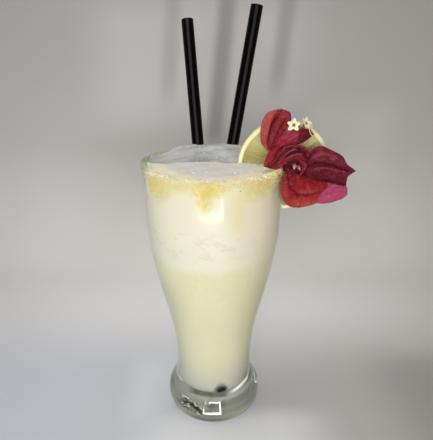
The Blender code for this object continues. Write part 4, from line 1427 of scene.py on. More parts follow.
@dataclass
class CitrusWheel:
    """The citrus wheel on the rim: rind, pith, sunken segments and juice sacs, slit to its middle."""

    radius: float = 28.0
    thickness: float = 5.0
    centre: Place = (42.8, 0.0, 177.1)
    segments: int = 9
    rind: float = 0.9
    pith: float = 1.5
    dip: float = 0.45
    slit_from: float = 40.4
    slit_to: float = 43.4
    slit_top: float = 180.4
    steps: int = 216

    @property
    def pulp(self) -> float:
        """Radius of the pulp."""
        return self.radius - self.rind - self.pith

    def face_at(self, reach: np.ndarray, angle: np.ndarray) -> np.ndarray:
        """How far a face stands out from the middle plane."""
        from_ray = np.abs(np.sin(0.5 * self.segments * angle)) * 2 * reach / self.segments
        inside = smoothstep(from_ray, 0.15, 0.9) * smoothstep(reach, 1.8, 4.0)
        inside = inside * smoothstep(reach, self.pulp + 0.2, self.pulp - 1.6)
        swell = 0.25 * np.sin(math.pi * np.clip(reach / self.pulp, 0, 1)) * smoothstep(from_ray, 0.8, 3.0)
        fibres = 0.06 * np.sin(63 * angle + 2.0 * np.sin(0.9 * reach))
        edge = 0.4 * smoothstep(reach, self.radius - 1.2, self.radius)
        return 0.5 * self.thickness - inside * (self.dip - swell + fibres) - edge

    def disc(self, finish: Material) -> Object:
        """Makes the wheel and cuts its slit.

        Args:
            finish: Material of the wheel.

        Returns:
            The cut wheel.
        """
        angles = all_round(self.steps)
        reaches = np.concatenate(
            [np.linspace(0.6, self.pulp, 30), np.linspace(self.pulp + 0.3, self.radius - 0.25, 10)]
        )
        rings = []
        for reach in reaches:
            out = self.face_at(np.full(self.steps, reach), angles)
            rings.append(np.stack([reach * np.cos(angles), -out, reach * np.sin(angles)], axis=1))
        half = 0.5 * self.thickness - 0.4
        for tilt in np.linspace(-1, 1, 9):
            reach = self.radius - 0.25 * abs(tilt) ** 3
            dimple = 0.05 * np.sin(37 * angles + 5 * tilt) * np.sin(23 * angles - 9 * tilt)
            spot = (reach + dimple - 0.05) * np.ones(self.steps)
            rings.append(
                np.stack([spot * np.cos(angles), 0 * angles + half * tilt, spot * np.sin(angles)], axis=1)
            )
        for reach in reaches[::-1]:
            out = self.face_at(np.full(self.steps, reach), angles + 0.12)
            rings.append(np.stack([reach * np.cos(angles), out, reach * np.sin(angles)], axis=1))
        middle = np.array([0.0, 0.5 * self.thickness, 0.0])
        points, faces = lofted(rings, -middle, middle)
        wheel = piece_from("citrus_slice", points + np.array(self.centre), faces, finish)
        low = Vector((self.slit_from, -self.thickness, self.centre[2] - self.radius - self.thickness))
        high = Vector((self.slit_to, self.thickness, self.slit_top))
        shape = bmesh.new()
        bmesh.ops.create_cube(shape, size=1.0)
        for vert in shape.verts:
            vert.co = Vector([(a + b) / 2 + c * (b - a) for a, b, c in zip(low, high, vert.co)]) * MM
        block = bpy.data.meshes.new("citrus_slit")
        shape.to_mesh(block)
        shape.free()
        block.materials.append(finish)
        cutter = placed("citrus_slit", block)
        step = wheel.modifiers.new("slit", "BOOLEAN")
        step.solver = "EXACT"
        step.object = cutter
        cut = bpy.data.meshes.new_from_object(wheel.evaluated_get(bpy.context.evaluated_depsgraph_get()))
        wheel.modifiers.clear()
        wheel.data = cut
        bpy.data.objects.remove(cutter)
        return tidy_faces(wheel, 1e-7)

    def sac_bed(self) -> bpy.types.Mesh:
        """A flat mesh of the segments on both faces, which the sacs grow on."""
        points, faces = [], []
        angles = np.linspace(0.22, 0.78, 7)
        reaches = np.linspace(4.6, self.pulp - 1.9, 12)
        for side in (-1.0, 1.0):
            for segment in range(self.segments):
                start = len(points)
                for reach in reaches:
                    squeeze = np.clip(1.4 / reach, 0.0, 0.2)
                    for share in angles:
                        share = share + (0.5 - share) * squeeze
                        turn = (segment + share) * 2 * math.pi / self.segments - (0.12 if side > 0 else 0.0)
                        out = side * (0.5 * self.thickness - self.dip - 0.10)
                        points.append((reach * math.cos(turn), out, reach * math.sin(turn)))
                faces += grid_faces(len(reaches), len(angles), start=start)
        return mesh_of("citrus_sac_bed", np.array(points) + np.array(self.centre), (), faces)

    def sacs(self, finish: Material) -> None:
        """Grows the juice sacs by Geometry Nodes: drops that point at the middle of the wheel."""
        tree = Growth(
            "citrus_sacs_tree", Density=700000.0, Apart=0.00075, Length=0.0017, Width=0.00042, Seed=3
        )
        ball = tree.node("GeometryNodeMeshIcoSphere", {"Radius": 1.0, "Subdivisions": 2})
        where = tree.node("GeometryNodeInputPosition").outputs[0]
        out = tree.vector("SUBTRACT", where, tuple(Vector(self.centre) * MM))
        aim = tree.node("FunctionNodeAlignEulerToVector", {"Vector": out}, axis="X")
        length, width = tree.times(tree.size["Length"], tree.draw(0.7, 1.25, 5)), tree.size["Width"]
        size = tree.node("ShaderNodeCombineXYZ", {0: length, 1: width, 2: width})
        strewn = tree.scatter(
            ball.outputs[0], size.outputs[0], tree.size["Density"], tree.size["Apart"], aim.outputs[0]
        )
        tree.done(strewn, finish)
        made = tree.grow("citrus_juice_sacs", self.sac_bed())
        made.data.shade_smooth()
        keep(made, "citrus")

    def build(self) -> None:
        """Makes the wheel."""
        finish = CitrusFinish()
        material = finish.wheel(
            Vector(self.centre), self.pulp, self.radius - self.rind, self.radius, self.segments
        )
        keep(self.disc(material), "citrus", "citrus_wheel")
        self.sacs(finish.vesicles())


@dataclass(frozen=True)
class Stain:
    """A golden patch of syrup: its angle and half width in degrees, its height and half height, its gold."""

    angle: float
    half: float
    height: float
    rise: float
    gold: float

    def at(self, degrees: np.ndarray, height: np.ndarray) -> np.ndarray:
        """How golden the patch makes each place."""
        beside = hump(off_angle(degrees, self.angle), self.half)
        return self.gold * beside * hump(height - self.height, self.rise)


@dataclass
class SugarRim:
    """Syrup stains below the rim and the crystals that stick on it, open where the wheel stands."""

    glass: Glass
    syrup_foot: float = 170.5
    opening: float = 4.8
    steps: int = 720
    rows: int = 60
    film: float = 0.16
    # Drips: the angle round the glass from +X, the half width as an angle, and how far each runs down
    drips: Points = (
        (-96, 10, 19), (-139, 22, 13), (-57, 22, 11), (-70, 6, 3), (-116, 12, 6.5), (172, 8, 4), (140, 6, 6),
        (98, 9, 4), (62, 6, 7), (28, 7, 4),
    )
    stains: tuple[Stain, ...] = (
        Stain(-90, 66, 177, 4, 0.20), Stain(-140, 18, 171.5, 8, 0.72), Stain(-114, 10, 175.4, 3.6, 0.26),
        Stain(-92, 14, 174.4, 4.4, 0.52), Stain(-91, 4.5, 175.2, 3.4, 0.40), Stain(-96.5, 6, 167.6, 8, 0.62),
        Stain(-57, 11, 172.4, 6.4, 0.58), Stain(-40, 12, 174.4, 5.4, 0.52), Stain(-22, 12, 176.6, 4.5, 0.85),
        Stain(172, 9, 172, 4.5, 0.50), Stain(140, 9, 172, 5.5, 0.50), Stain(98, 12, 174, 4.5, 0.55),
        Stain(62, 9, 171, 6, 0.60), Stain(28, 12, 174, 4.5, 0.70),
    )

    def drip_at(self, degrees: np.ndarray) -> np.ndarray:
        """How far below its usual edge the syrup runs."""
        reach = np.zeros_like(degrees)
        for middle, half, length in self.drips:
            reach = np.maximum(reach, length * hump(off_angle(degrees, middle), half))
        return reach

    def syrup(self) -> None:
        """Makes the syrup film, with its gold as an attribute."""
        degrees = np.linspace(self.opening, 360.0 - self.opening, self.steps)
        angles = np.radians(degrees)
        ring = np.stack([np.cos(angles), np.sin(angles)], axis=1)
        foot = self.syrup_foot - self.drip_at(degrees)
        top = self.glass.height - 0.5
        outer_line, inner_line, gold = [], [], []
        for share in np.linspace(0, 1, self.rows):
            height = foot + (top - foot) * share
            wall = self.glass.outer(height)
            rough = ripple(np.column_stack([wall[:, None] * ring, height]), 2.6, 3)
            thick = self.film * (1 + 0.5 * rough) * min(1.0, share * 8 + 0.2)
            faded = smoothstep(np.full(self.steps, share), 0.0, 0.42)
            gold.append(np.clip(sum(stain.at(degrees, height) for stain in self.stains), 0.0, 1.2) * faded)
            outer_line.append(np.column_stack([(wall + 0.03 + thick)[:, None] * ring, height]))
            inner_line.append(np.column_stack([(wall - 0.05)[:, None] * ring, height]))
        points, faces = sheet_solid(np.stack(outer_line), np.stack(inner_line))
        film = np.concatenate([np.stack(gold).reshape(-1)] * 2)
        made = piece_from("sugar_syrup", points, faces, SugarFinish().syrup(), 1e-7, film=film)
        keep(made, "sugar", "sugar_rim")

    def crystals(self) -> None:
        """Grows the crystals by Geometry Nodes on a band that follows the rim."""
        count = 240
        degrees = np.linspace(self.opening + 0.6, 360.0 - self.opening - 0.6, count)
        angles = np.radians(degrees)
        ring = np.stack([np.cos(angles), np.sin(angles)], axis=1)
        top, outer, inner = self.glass.height, float(self.glass.outer(179.0)), float(self.glass.inner(179.0))
        # Radius and height of the band from its foot over the rim, and how much of the sugar lies there
        stations = (
            (float(self.glass.outer(173.0)) + 0.10, 173.0, 0.02),
            (float(self.glass.outer(175.5)) + 0.15, 175.5, 0.12), (outer + 0.22, 177.4, 0.40),
            (outer + 0.30, 178.9, 0.95), (outer + 0.15, top + 0.05, 1.0),
            (0.5 * (outer + inner), top + 0.28, 0.8), (inner + 0.1, top + 0.05, 0.45),
        )
        back, left, wheel = (np.abs(off_angle(degrees, at)) for at in (108.0, 180.0, -18.0))
        clump = 0.7 * hump(left, 14.0)[:, None]
        rows = [np.column_stack([(r + clump * share) * ring, np.full(count, z)]) for r, z, share in stations]
        patch = 0.62 + 0.38 * np.sin(0.13 * degrees + 0.7) * np.sin(0.051 * degrees)
        patch = patch * (1 - 0.9 * hump(back, 63.0, 4)) + 0.6 * hump(wheel, 22.0)
        patch = patch + 0.5 * hump(left, 15.0)
        bed = mesh_of("sugar_bed", np.vstack(rows), (), grid_faces(len(stations), count))
        cover = np.clip(np.concatenate([share * patch for _, _, share in stations]), 0, 1.4)
        grain = 1 + 0.9 * hump(left, 18.0) + 0.25 * hump(wheel, 25.0)
        mark(bed, cover=cover, grain=np.tile(grain, len(stations)))
        tree = Growth("sugar_crystals_tree", Density=3000000.0, Smallest=0.00014, Largest=0.00036, Seed=21)
        cube = tree.node("GeometryNodeMeshCube", {"Size": (2.0, 2.0, 2.0)})
        stretch = tree.draw((0.65, 0.65, 0.65), (1.25, 1.1, 1.35), 4, vector=True)
        size = tree.times(tree.draw(tree.size["Smallest"], tree.size["Largest"], 9), tree.read("grain"))
        scale = tree.node("ShaderNodeVectorMath", {0: stretch}, operation="SCALE")
        tree.feed(scale.inputs["Scale"], size)
        turn = tree.draw((0.0, 0.0, 0.0), (6.283, 6.283, 6.283), 15, vector=True)
        density = tree.times(tree.read("cover"), tree.size["Density"])
        strewn = tree.scatter(cube.outputs["Mesh"], scale.outputs[0], density, turn=turn)
        tree.done(strewn, SugarFinish().crystals())
        keep(tree.grow("sugar_crystals", bed), "sugar", "sugar_rim")

    def build(self) -> None:
        """Makes the sugared rim."""
        self.syrup()
        self.crystals()


@dataclass(frozen=True)
class Crease:
    """A fold on a bract, or only a painted line, between two places given as (along, across); its tone paints
    shade below 0 and a highlight above 0.
    """

    start: tuple[float, float]
    end: tuple[float, float]
    depth: float
    width: float = 0.10
    tone: float = 0.0

    def near(self, along: np.ndarray, across: np.ndarray) -> np.ndarray:
        """How near each place is to the line, from 0 far off to 1 on it."""
        a, b = np.array(self.start), np.array(self.end)
        line = b - a
        t = np.clip(((along - a[0]) * line[0] + (across - a[1]) * line[1]) / (line @ line), 0, 1)
        apart = np.hypot(along - a[0] - t * line[0], 0.5 * (across - a[1] - t * line[1]))
        return hump(apart, self.width)


@dataclass
class Bract:
    """One papery bract between two edges, as they are seen, with relief, folds, veins and a ruffled edge."""

    name: str
    # Both edges from the base to the tip: column and row in the picture, and y in millimetres
    first: Points
    second: Points
    # Relief towards the viewer at even steps from the first edge to the second, in millimetres
    relief: Sequence[float]
    ground: Colour
    zones: tuple[Zone, ...]
    slot: str
    creases: tuple[Crease, ...] = ()
    node: str = ""
    midrib: float = 0.0
    ruffle: float = 0.35
    turns: float = 6.0
    thickness: float = 0.34
    rows: int = 76
    columns: int = 56
    veins: int = 7
    viewer: Place = (0.0, -0.95, 0.31)

    def middle(self, along: np.ndarray, across: np.ndarray) -> tuple[np.ndarray, np.ndarray]:
        """Places the bract's middle surface.

        Args:
            along: From 0 at the base to 1 at the tip, for each point.
            across: From -1 at the first edge to 1 at the second, for each point.

        Returns:
            The points, and the place along and across, the veins, and the painted shade and painted
            highlights of each.
        """
        view = View()
        first, second = view.points(self.first), view.points(self.second)
        one, other = curve_at(first, along), curve_at(second, along)
        share = 0.5 * (across + 1.0)
        here = one + (other - one) * share[..., None]
        wide = np.linalg.norm(other - one, axis=-1)
        swell = np.minimum(1.0, wide / 8.0)
        heights = np.array(self.relief, float)[:, None]
        out = swell * curve_at(heights, share)[..., 0]
        edge = np.abs(across) ** 4
        wave = np.sin(2 * math.pi * self.turns * along + 1.7 * np.sign(across))
        out = out + self.ruffle * swell * edge * wave
        off_rib = across - self.midrib
        slant = along * self.veins - 0.9 * np.abs(off_rib)
        ridge = hump(slant % 1.0 - 0.5, 0.055) * smoothstep(np.abs(off_rib), 0.02, 0.15)
        ridge = ridge * smoothstep(np.abs(across), 1.0, 0.75)
        rib = hump(0.5 * off_rib * wide, 0.35) * smoothstep(along, 1.0, 0.8)
        out = out + swell * (0.07 * ridge + 0.18 * rib)
        # The folds' tones: painted shade where below 0, painted highlights where above 0.
        dark, light = np.zeros_like(along), np.zeros_like(along)
        for crease in self.creases:
            near = crease.near(along, across)
            out = out + swell * crease.depth * near
            dark = np.maximum(dark, -crease.tone * near)
            light = np.maximum(light, crease.tone * near)
        facing = np.array(self.viewer)
        values = np.stack([along, across, np.maximum(ridge * 0.7, rib), dark, light], axis=-1)
        return here + facing * out[..., None], values

    def build(self) -> None:
        """Makes the bract as a thin closed solid."""
        along, across = np.meshgrid(
            np.linspace(0, 1, self.rows + 1), np.linspace(-1, 1, self.columns + 1), indexing="ij"
        )
        along = 0.004 + along * 0.990
        points, values = self.middle(along, across)
        crinkle = ripple(points.reshape(-1, 3), 3.2, 3).reshape(along.shape)
        points = points + np.array(self.viewer) * (0.24 * crinkle)[..., None]
        normal = unit(np.cross(np.gradient(points, axis=0), np.gradient(points, axis=1)))
        thin = 0.5 * self.thickness * (1 - 0.6 * np.abs(across) ** 3)
        front, back = points + normal * thin[..., None], points - normal * thin[..., None]
        solid, faces = sheet_solid(front, back)
        table = np.vstack([values.reshape(-1, 5)] * 2)
        marks = {"leaf_place": table[:, :3], "leaf_painted_shade": table[:, 3], "leaf_painted_highlight": table[:, 4]}
        finish = BractFinish(self.name, self.ground, self.zones).mixed()
        made = piece_from(self.name + "_leaf", solid, faces, finish, 1e-7, 70.0, **marks)
        keep(made, self.slot, self.node or self.name)


@dataclass(frozen=True)
class FlowerTones:
    """Colours of the bracts; some stand for painted light or shade on a lit side, shaded parts and the shaded
    middle.
    """

    lit_copper: Colour = srgb(174, 82, 74)
    maroon: Colour = srgb(132, 39, 47)
    dark: Colour = srgb(92, 18, 32)
    rose: Colour = srgb(154, 50, 68)
    magenta: Colour = srgb(124, 34, 68)
    pink: Colour = srgb(180, 74, 114)
    scarlet: Colour = srgb(142, 28, 32)
    orange: Colour = srgb(176, 68, 46)
    rust: Colour = srgb(150, 58, 50)
    plum: Colour = srgb(80, 15, 28)
    wine: Colour = srgb(102, 28, 44)
    mulberry: Colour = srgb(84, 14, 34)
    heart_shade: Colour = srgb(58, 10, 22)


TONES = FlowerTones()

# The bracts with their own outline, relief, ground, zones, slot and folds; some zones and fold tones are
# painted light or shade
BRACTS = (
    Bract(
        "bract_upper_left",
        ((267.4, 150.8, -10.5), (261.6, 143, -11.5), (260.8, 134, -12.5), (261.6, 123.5, -13),
         (265.8, 114.5, -12.8), (272, 110.2, -12), (281.5, 109, -11)),
        ((270.5, 150, -10.5), (278, 141.5, -12.5), (283.5, 134, -13.5), (287, 127.5, -13.5),
         (291.3, 119.5, -13), (289.6, 112, -12), (281.5, 109, -11)),
        (-1.5, 1.2, 1.6, 0.2, 0.9, 0.4, -0.4),
        TONES.maroon,
        # Its coppery first half is painted light, on its lit side.
        (Zone(Side.ACROSS, -0.3, -0.5, TONES.lit_copper), Zone(Side.ALONG, 0.62, 0.9, TONES.rose, 0.45)),
        "bract_warm",
        (Crease((0.1, -0.25), (0.62, -0.18), -1.3, 0.05, -0.8),
         Crease((0.55, -0.22), (0.85, 0.1), -0.7, 0.04, -0.6),
         Crease((0.25, 0.45), (0.6, 0.55), -0.6, 0.06, -0.8),
         Crease((0.7, 0.95), (0.86, 0.98), 0, 0.03, -0.9)),
    ),
    Bract(
        "bract_upper_right",
        ((272.5, 146.5, -12), (279, 137.8, -14), (286.5, 131.2, -15.8), (293.5, 129.4, -16.6),
         (300.5, 128.4, -16.2), (308.5, 129.2, -14.6), (314.2, 134.4, -12.8)),
        ((273.5, 149, -12), (281, 147.8, -14), (287.5, 145.8, -15.6), (293.5, 144.6, -16.4),
         (299.5, 144, -15.6), (306.5, 140.4, -14), (314.2, 134.4, -12.8)),
        (-0.6, 0.8, 1, 0.6, -0.8),
        TONES.rose,
        # Its dark zone towards the tip is painted shade, where it folds away from the light.
        (Zone(Side.ALONG, 0.62, 0.7, TONES.dark, 0.92), Zone(Side.ALONG, 0.25, 0, TONES.scarlet, 0.8)),
        "bract_magenta",
        (Crease((0.66, -0.9), (0.6, 0.9), 0.8, 0.03, -0.5),
         Crease((0.35, 0.3), (0.58, -0.1), 0.5, 0.04, 0.5),
         Crease((0.3, 0.98), (0.62, 0.98), 0, 0.03, -0.7)),
    ),
    Bract(
        "bract_left",
        ((280.5, 141.5, -13), (273, 147.5, -16), (268.3, 152.6, -19), (266, 158.5, -21.5),
         (264, 163.8, -23.4), (263.6, 166.4, -24.2)),
        ((292, 146, -13.5), (289, 152, -15.5), (287.5, 158.5, -17.5), (285.5, 164.5, -19.5),
         (276, 169.6, -22), (263.6, 166.4, -24.2)),
        (-0.8, 1.2, 0.6, -0.8, 0.3, -0.3),
        TONES.maroon,
        (Zone(Side.ACROSS, -0.25, -0.55, TONES.scarlet), Zone(Side.ALONG, 0.6, 0.82, TONES.maroon, 0.9)),
        "bract_warm",
        (Crease((0.15, -0.15), (0.62, -0.25), -1.2, 0.04, -0.9),
         Crease((0.3, 0.35), (0.66, 0.05), -0.9, 0.04, -0.9),
         Crease((0.45, 0.75), (0.72, 0.35), -0.6, 0.03, -0.8),
         Crease((0.8, -0.6), (0.85, 0.6), 0.4, 0.05, -0.4)),
    ),
    Bract(
        "bract_hood",
        ((281, 157.5, -17), (281.6, 150.5, -18), (286, 146.4, -18.6), (293, 144.9, -19), (300.5, 145, -19),
         (307.5, 148.6, -18), (311.8, 154.5, -16.5), (311, 161.5, -15)),
        ((282, 160.5, -17), (285, 161.2, -18.5), (289.5, 160.8, -19), (294.5, 159.4, -18.5),
         (299.5, 160, -17.6), (304, 162.4, -16.6), (308, 164, -15.6), (311, 161.5, -15)),
        (0.9, 0.4, -0.7, 0.3, -0.6),
        TONES.plum,
        # Its rose top edge is a painted highlight.
        (Zone(Side.ACROSS, -0.72, -0.92, TONES.rose, 0.7), Zone(Side.ACROSS, 0, 0.5, TONES.maroon, 0.7)),
        "bract_magenta",
        (Crease((0.12, 0.1), (0.45, -0.35), 0.8, 0.035, 0.7),
         Crease((0.22, 0.6), (0.6, 0.15), 0.7, 0.035, 0.5), Crease((0.15, 0.4), (0.5, -0.1), -0.8, 0.03, -1),
         Crease((0.55, -0.5), (0.85, 0), -0.7, 0.04, -1), Crease((0.75, -0.3), (0.92, 0.3), 0.6, 0.03, 0.6)),
        veins=4,
    ),
    Bract(
        "bract_right",
        ((304, 168, -14), (308.5, 156, -16.5), (314.5, 148.4, -18.2), (321.9, 145.6, -19.4),
         (332, 149.8, -19), (342.6, 155.6, -17.4), (348.4, 164.5, -15.4), (356, 170.8, -13)),
        ((302, 173, -14), (305, 179, -17), (313.5, 181.6, -19.2), (324, 182.6, -20), (334.5, 184, -19),
         (345.8, 186, -17), (347.8, 177.5, -15), (356, 170.8, -13)),
        (-1.6, 0.4, 1.4, -0.6, 1, 0.5, -1.2),
        TONES.wine,
        (Zone(Side.ACROSS, -0.1, 0.05, TONES.mulberry, 0.75),
         Zone(Side.ALONG, 0.66, 0.86, TONES.magenta, 0.85)),
        "bract_magenta",
        (Crease((0.12, -0.1), (0.85, -0.12), -1, 0.03, -0.7),
         Crease((0.3, 0.25), (0.75, 0.05), 0.5, 0.03, 0.35),
         Crease((0.35, 0.86), (0.86, 0.84), -1, 0.035, -0.9),
         Crease((0.25, -0.5), (0.6, -0.62), 0.5, 0.05, 0.3),
         Crease((0.45, -0.98), (0.95, -0.98), 0, 0.025, -0.6)),
    ),
    Bract(
        "bract_lower_right",
        ((311.5, 197, -12.5), (317.5, 190.5, -13), (325, 185, -13.6), (333.5, 182.2, -14),
         (341.5, 181.8, -14), (347, 186.5, -13.8), (347.2, 194.8, -13.2)),
        ((312, 202, -12.5), (317.5, 203.2, -13.2), (324, 203.6, -14), (331, 202.6, -14.4),
         (337.5, 200.6, -14.4), (343, 198.6, -14), (347.2, 194.8, -13.2)),
        (-0.8, 0.6, 0.9, 0.4, -0.8),
        TONES.pink,
        (Zone(Side.ACROSS, 0.7, 1.05, TONES.magenta, 0.6), Zone(Side.ALONG, 0.15, 0, TONES.rose, 0.6)),
        "bract_magenta",
        (Crease((0.3, 0.1), (0.7, -0.2), 0.4, 0.04, 0.3),
         Crease((0.55, -0.45), (0.8, -0.35), -0.4, 0.03, -0.35)),
    ),
    Bract(
        "bract_lower",
        ((286, 171, -15), (283.2, 177, -18), (281, 185, -21.4), (280.6, 193, -23.4), (283.8, 201, -24.2),
         (290, 206.6, -24), (299, 207.8, -23.6)),
        ((304, 173, -14.5), (317, 177.5, -16.5), (327.4, 182.5, -18.2), (326.8, 188, -20),
         (319.4, 195.2, -22.4), (315.4, 203.6, -23.4), (299, 207.8, -23.6)),
        (-0.8, 1, 0.2, 1.2, 0.8, 0.2, -0.8),
        TONES.scarlet,
        # Its dark zone near the base is painted shadow under the hood.
        (Zone(Side.ALONG, 0.4, 0.14, TONES.dark, 0.4), Zone(Side.ALONG, 0.58, 0.8, TONES.orange, 0.9),
         Zone(Side.ACROSS, -0.68, -0.85, TONES.rust, 0.8)),
        "bract_warm",
        (Crease((0.05, -0.8), (0.4, -0.62), -0.9, 0.035, -0.7),
         Crease((0.4, -0.62), (0.58, -0.25), -0.8, 0.035, -0.5),
         Crease((0.58, -0.25), (0.62, 0.4), -0.8, 0.035, -0.5),
         Crease((0.62, 0.4), (0.58, 0.9), -0.6, 0.035, -0.4),
         Crease((0.52, -0.15), (0.55, 0.35), 0.6, 0.05, 0.3),
         Crease((0.3, 0.3), (0.5, 0.75), -0.4, 0.03, -0.35),
         Crease((0.8, -0.5), (0.82, 0.5), 0.3, 0.03, 0.3), Crease((0.02, 0), (0.1, 0.9), -0.6, 0.06, -0.9)),
    ),
    Bract(
        "bract_heart",
        ((280.5, 158, -14.6), (285, 154, -14.8), (293, 152.5, -15.2), (301, 153.5, -15.2),
         (309, 158, -14.6)),
        ((281.5, 168.5, -15.4), (286, 174, -15.8), (293, 176.8, -16), (300.5, 176.5, -15.8),
         (308, 170.5, -15)),
        (0.3, -0.8, -1.2, -0.6, 0.2),
        # A very dark inner bract, coloured as painted shade of the flower's middle.
        TONES.heart_shade,
        (Zone(Side.ACROSS, 0.3, 0.8, TONES.dark, 0.8),),
        "bract_magenta",
        node="bract_hood", rows=40, columns=30,
    ),
    Bract(
        "bract_curl",
        ((300, 160.5, -17.6), (304.5, 162, -18.8), (306.4, 165.4, -19.6), (304.6, 170.5, -20),
         (300.8, 175.8, -19.6)),
        ((299.5, 163, -17.2), (301.5, 165, -17.4), (302, 168, -17.6), (300.6, 171.6, -18.2),
         (299.6, 175.2, -19.4)),
        (0.4, -0.3, -0.8),
        TONES.maroon,
        (Zone(Side.ACROSS, -0.35, -0.75, TONES.rose, 0.95),),
        "bract_magenta",
        node="bract_hood", rows=40, columns=20,
    ),
)


@dataclass
class Flower:
    """The bract flower: seven bracts in two clusters, and two small leaves folded in its middle, the rear one
    dark as painted shade.
    """

    bracts: tuple[Bract, ...] = BRACTS

    def build(self) -> None:
        """Makes the bracts."""
        for bract in self.bracts:
            bract.build()


@dataclass
class Stem:
    """The sprig's stem with its branch and swollen nodes."""

    radius: float = 1.1
    branch_radius: float = 0.9
    route: Points = (
        (31, -6, 158), (33, -6.2, 170), (35.6, -6.8, 180.5), (39.6, -8.2, 184.6), (44.4, -10, 184.2),
        (48.2, -11, 180.6),
    )
    branch: Points = ((42.6, -9.3, 184.6), (41.2, -8.8, 187.4), (39.4, -8.2, 190.4))
    upper_swell: float = 1.9
    lower_swell: float = 2.0

    def bar(self, name: str, route: Points, radius: float, swell: float, finish: Material) -> None:
        """Makes one stretch of stem that thickens into a node at its end.

        Args:
            name: Name of the piece.
            route: Points of its middle line.
            radius: Its usual radius.
            swell: Radius of the node at its end.
            finish: Its material.
        """
        places = np.linspace(0, 1, 60)
        line = curve_at(route, places)
        length = np.linalg.norm(np.array(route[-1]) - np.array(route[-2])) * (len(route) - 1)
        from_end = (1 - places) * length
        bulge = (swell - radius) * hump(from_end, 1.3 * swell)
        radii = radius * (1 + 0.06 * np.sin(9 * places)) + bulge
        line = np.vstack([line, line[-1] + unit(line[-1] - line[-2]) * 0.8 * swell])
        radii = np.append(radii, 0.45 * swell)
        rings = rings_along(line, radii, 20)
        end = line[-1] + unit(line[-1] - line[-2]) * 0.2 * swell
        points, faces = lofted(rings, line[0], end)
        keep(piece_from(name, points, faces, finish), "stem", "stem")

    def build(self) -> None:
        """Makes the stem and its branch."""
        finish = StemFinish().mixed()
        self.bar("stem_twig", self.route, self.radius, self.lower_swell, finish)
        self.bar("stem_branch", self.branch, self.branch_radius, self.upper_swell, finish)


@dataclass
class StarFlower:
    """A small star flower on its tube."""

    name: str
    middle: Place
    facing: Place
    root: Place
    spread: float = 3.9
    notch: float = 2.2
    untidy: float = 0.20
    tube: float = 0.95
    lobes: int = 5
    # Places along the tube with its width there, and shares of the reach of the lobes with the lift there
    neck: Points = ((0.0, 0.5), (0.12, 0.8), (0.35, 1.0), (0.6, 0.85), (0.8, 0.78), (0.93, 0.95), (1.0, 1.15))
    corolla: Points = (
        (0.45, -0.30), (0.75, -0.12), (0.97, 0.05), (1, 0.18), (0.97, 0.30), (0.7, 0.22), (0.45, 0.16),
        (0.28, 0.02), (0.16, -0.35),
    )

    def build(self, finish: Material) -> None:
        """Makes the flower as one body: the tube, the corolla and its throat.

        Args:
            finish: Material of the flower.
        """
        sides = self.lobes * 16
        angles = all_round(sides)
        root, middle = np.array(self.root), np.array(self.middle)
        facing, way = unit(np.array(self.facing)), unit(middle - root)
        wave = 0.5 + 0.5 * np.cos(self.lobes * angles)
        place_x, place_y, _ = self.middle
        uneven = 1 + self.untidy * (np.sin(angles + place_x) + 0.6 * np.sin(3 * angles + place_y))
        notched = (self.notch + (self.spread - self.notch) * wave**0.8) * (0.5 + 0.5 * uneven)

        def ring(centre: np.ndarray, axis: np.ndarray, radii: np.ndarray, lift: np.ndarray) -> np.ndarray:
            """One ring of points round an axis, each lifted along it."""
            side = np.array(Vector(axis).orthogonal().normalized())
            other = np.cross(axis, side)
            flat = np.outer(radii * np.cos(angles), side) + np.outer(radii * np.sin(angles), other)
            return centre + flat + np.outer(lift, axis)

        rings, reach = [], []
        length = np.linalg.norm(middle - root) - self.tube
        for share, wide in self.neck:
            ribbed = wide * self.tube * (1 + 0.08 * np.cos(self.lobes * angles))
            rings.append(ring(root + way * length * share, way, ribbed, 0 * angles))
            reach.append(-1.0 + 0.8 * share)
        curl = 0.8 * wave * uneven
        for share, lift in self.corolla:
            rings.append(ring(middle, facing, notched * share, lift + curl * share**2 * 0.8))
            reach.append(share)
        points, faces = lofted(rings, root, middle - facing * 0.5)
        reaches = np.concatenate([[-1.0], np.repeat(reach, sides), [0.0]])
        made = piece_from(self.name + "_bloom", points, faces, finish, 1e-7, 60.0, star_reach=reaches)
        keep(made, "star", self.name)


@dataclass
class Bud:
    """A closed, ribbed bud."""

    name: str
    tip: Place
    root: Place
    radius: float = 1.1
    sides: int = 30

    def build(self, finish: Material) -> None:
        """Makes the bud.

        Args:
            finish: Material of the bud.
        """
        places = np.linspace(0, 1, 18)
        root, tip = np.array(self.root), np.array(self.tip)
        route = root + np.outer(places, tip - root)
        radii = self.radius * (0.45 + 0.75 * np.sin(math.pi * places**0.8) ** 0.8) * (1 - 0.55 * places**3)
        rings = rings_along(route, radii, self.sides)
        ribs = 1 + 0.08 * np.cos(5 * all_round(self.sides))
        rings = [mid + (ring - mid) * ribs[:, None] for ring, mid in zip(rings, route)]
        points, faces = lofted(rings, root, tip)
        keep(piece_from(self.name + "_body", points, faces, finish), "bud", self.name)


# Studio


@dataclass
class Lamp:
    """A soft rectangular lamp that is aimed at a point."""

    name: str
    place: Place
    aim: Place
    size: tuple[float, float]
    watts: float
    colour: Colour = (1.0, 1.0, 1.0)
    lights: bool = True
    gleams: bool = True
    spread: float = 180.0

    def build(self) -> None:
        """Hangs the lamp. It may only light things, or only be seen in polished surfaces."""
        light = bpy.data.lights.new(self.name, "AREA")
        light.shape = "RECTANGLE"
        light.size, light.size_y = self.size
        light.energy = self.watts
        light.color = self.colour
        light.spread = math.radians(self.spread)
        made = placed(self.name, light)
        made.location = self.place
        way = Vector(self.aim) - Vector(self.place)
        made.rotation_euler = way.to_track_quat("-Z", "Y").to_euler()
        made.visible_camera = False
        made.visible_glossy = self.gleams
        made.visible_diffuse = self.lights
        made.visible_transmission = self.lights


